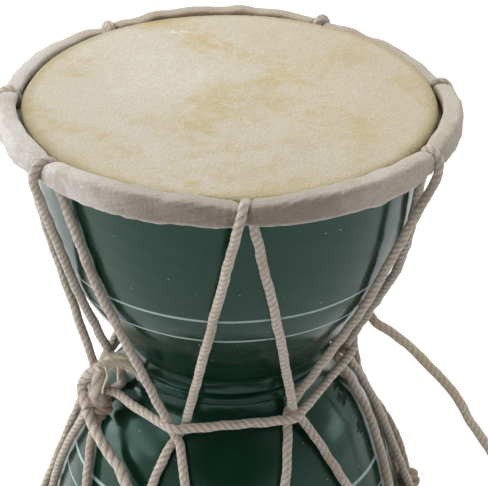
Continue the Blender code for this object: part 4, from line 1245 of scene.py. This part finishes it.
def main():
    """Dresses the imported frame."""
    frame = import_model()
    make_camera()
    bpy.context.scene.view_settings.view_transform = "Standard"
    mottle, pores, lay = make_mottle_group(), make_pore_group(), make_fibre_group()
    paint = make_paint(mottle)
    membrane = make_membrane(mottle, pores)
    hide = make_lap_hide(mottle, pores)
    cane = make_cane(mottle)
    cottons = {name: make_cotton(name, lay, *looks) for name, looks in COTTONS.items()}
    rope, soft, soiled, loosened = cottons.values()
    *_, loose_path = add_free_cords(cottons)

    # The body, the skins and their laps
    dress(make_shell(paint), "drum", "painted_wood", "shell")
    for word, side in (("top", 1), ("bottom", -1)):
        dress(make_membrane_piece(f"{word}_skin", side, membrane), "drum", "skin", f"{word}_head")
        dress(make_lap(f"{word}_lap", side, hide), "drum", "skin", f"{word}_head")
        finish = frame["nodes"][f"{word}_hoop"].data.materials
        finish.clear()
        finish.append(cane)

    # Lacing, waist cord, big knot, the frayed end and the right striker's hitch
    laced_path = softened(lacing_route(), 0.9 * MM, 1.3 * MM)
    laced_facing = sideways(np.degrees(np.arctan2(laced_path[:, 0], -laced_path[:, 1])))
    laced = rope_grid(laced_path, laced_facing, ROPE, 7.8 * MM, depth=0.11, seed=31)
    add_cotton("laced_rope", laced, rope, "drum", "lacing_rope")
    waist_path = softened(smooth_route(waist_route(), 0.8 * MM), 0.7 * MM, 1.0 * MM)
    waist = rope_grid(waist_path, UP, ROPE, 8.0 * MM, depth=0.12, columns=24, seed=41)
    add_cotton("waist_rope", waist, rope, "drum", "waist_cord")
    centre = place(KNOT_REACH, KNOT_AZIMUTH + 4.0, KNOT_HEIGHT - 1.0 * MM)
    leaning = unit(UP - 0.22 * sideways(KNOT_AZIMUTH))
    core = knot_grids(
        centre, leaning, KNOT_RADIUS - 0.6 * MM, KNOT_LENGTH - 1.6 * MM, ROPE, 4.6, 14.0 * MM, 71
    )
    add_cotton("waist_rope_knot", joined(core), soiled, "drum", "waist_knot")
    add_cotton("waist_rope_wraps", big_knot_strands(), rope, "drum", "waist_knot")
    add_cotton("frayed_rope_end", frayed_end(), loosened, "drum", "frayed_end")
    centre = place(48.7 * MM, 118.1, 0.2 * MM)
    hitch = knot_grids(centre, sideways(109.0), 4.6 * MM, 6.0 * MM, 2.4 * MM, 2.0, 8.0 * MM, 74)
    add_cotton("right_striker_tie", joined(hitch), rope, "right_striker", "right_striker_hitch")
    fuzz = [
        hairs(laced_path, ROPE, laced_facing, 7000, 1.7 * MM, 0.032 * MM, 81),
        hairs(waist_path, ROPE, UP, 800, 1.7 * MM, 0.032 * MM, 82),
        hairs(loose_path, ROPE, sideways(LOOSE_FACING), 200, 2.2 * MM, 0.045 * MM, 83),
    ]
    add_cotton("rope_fuzz", joined(fuzz), soft, "drum")

    make_floor()
    make_sky_and_lamps()


main()
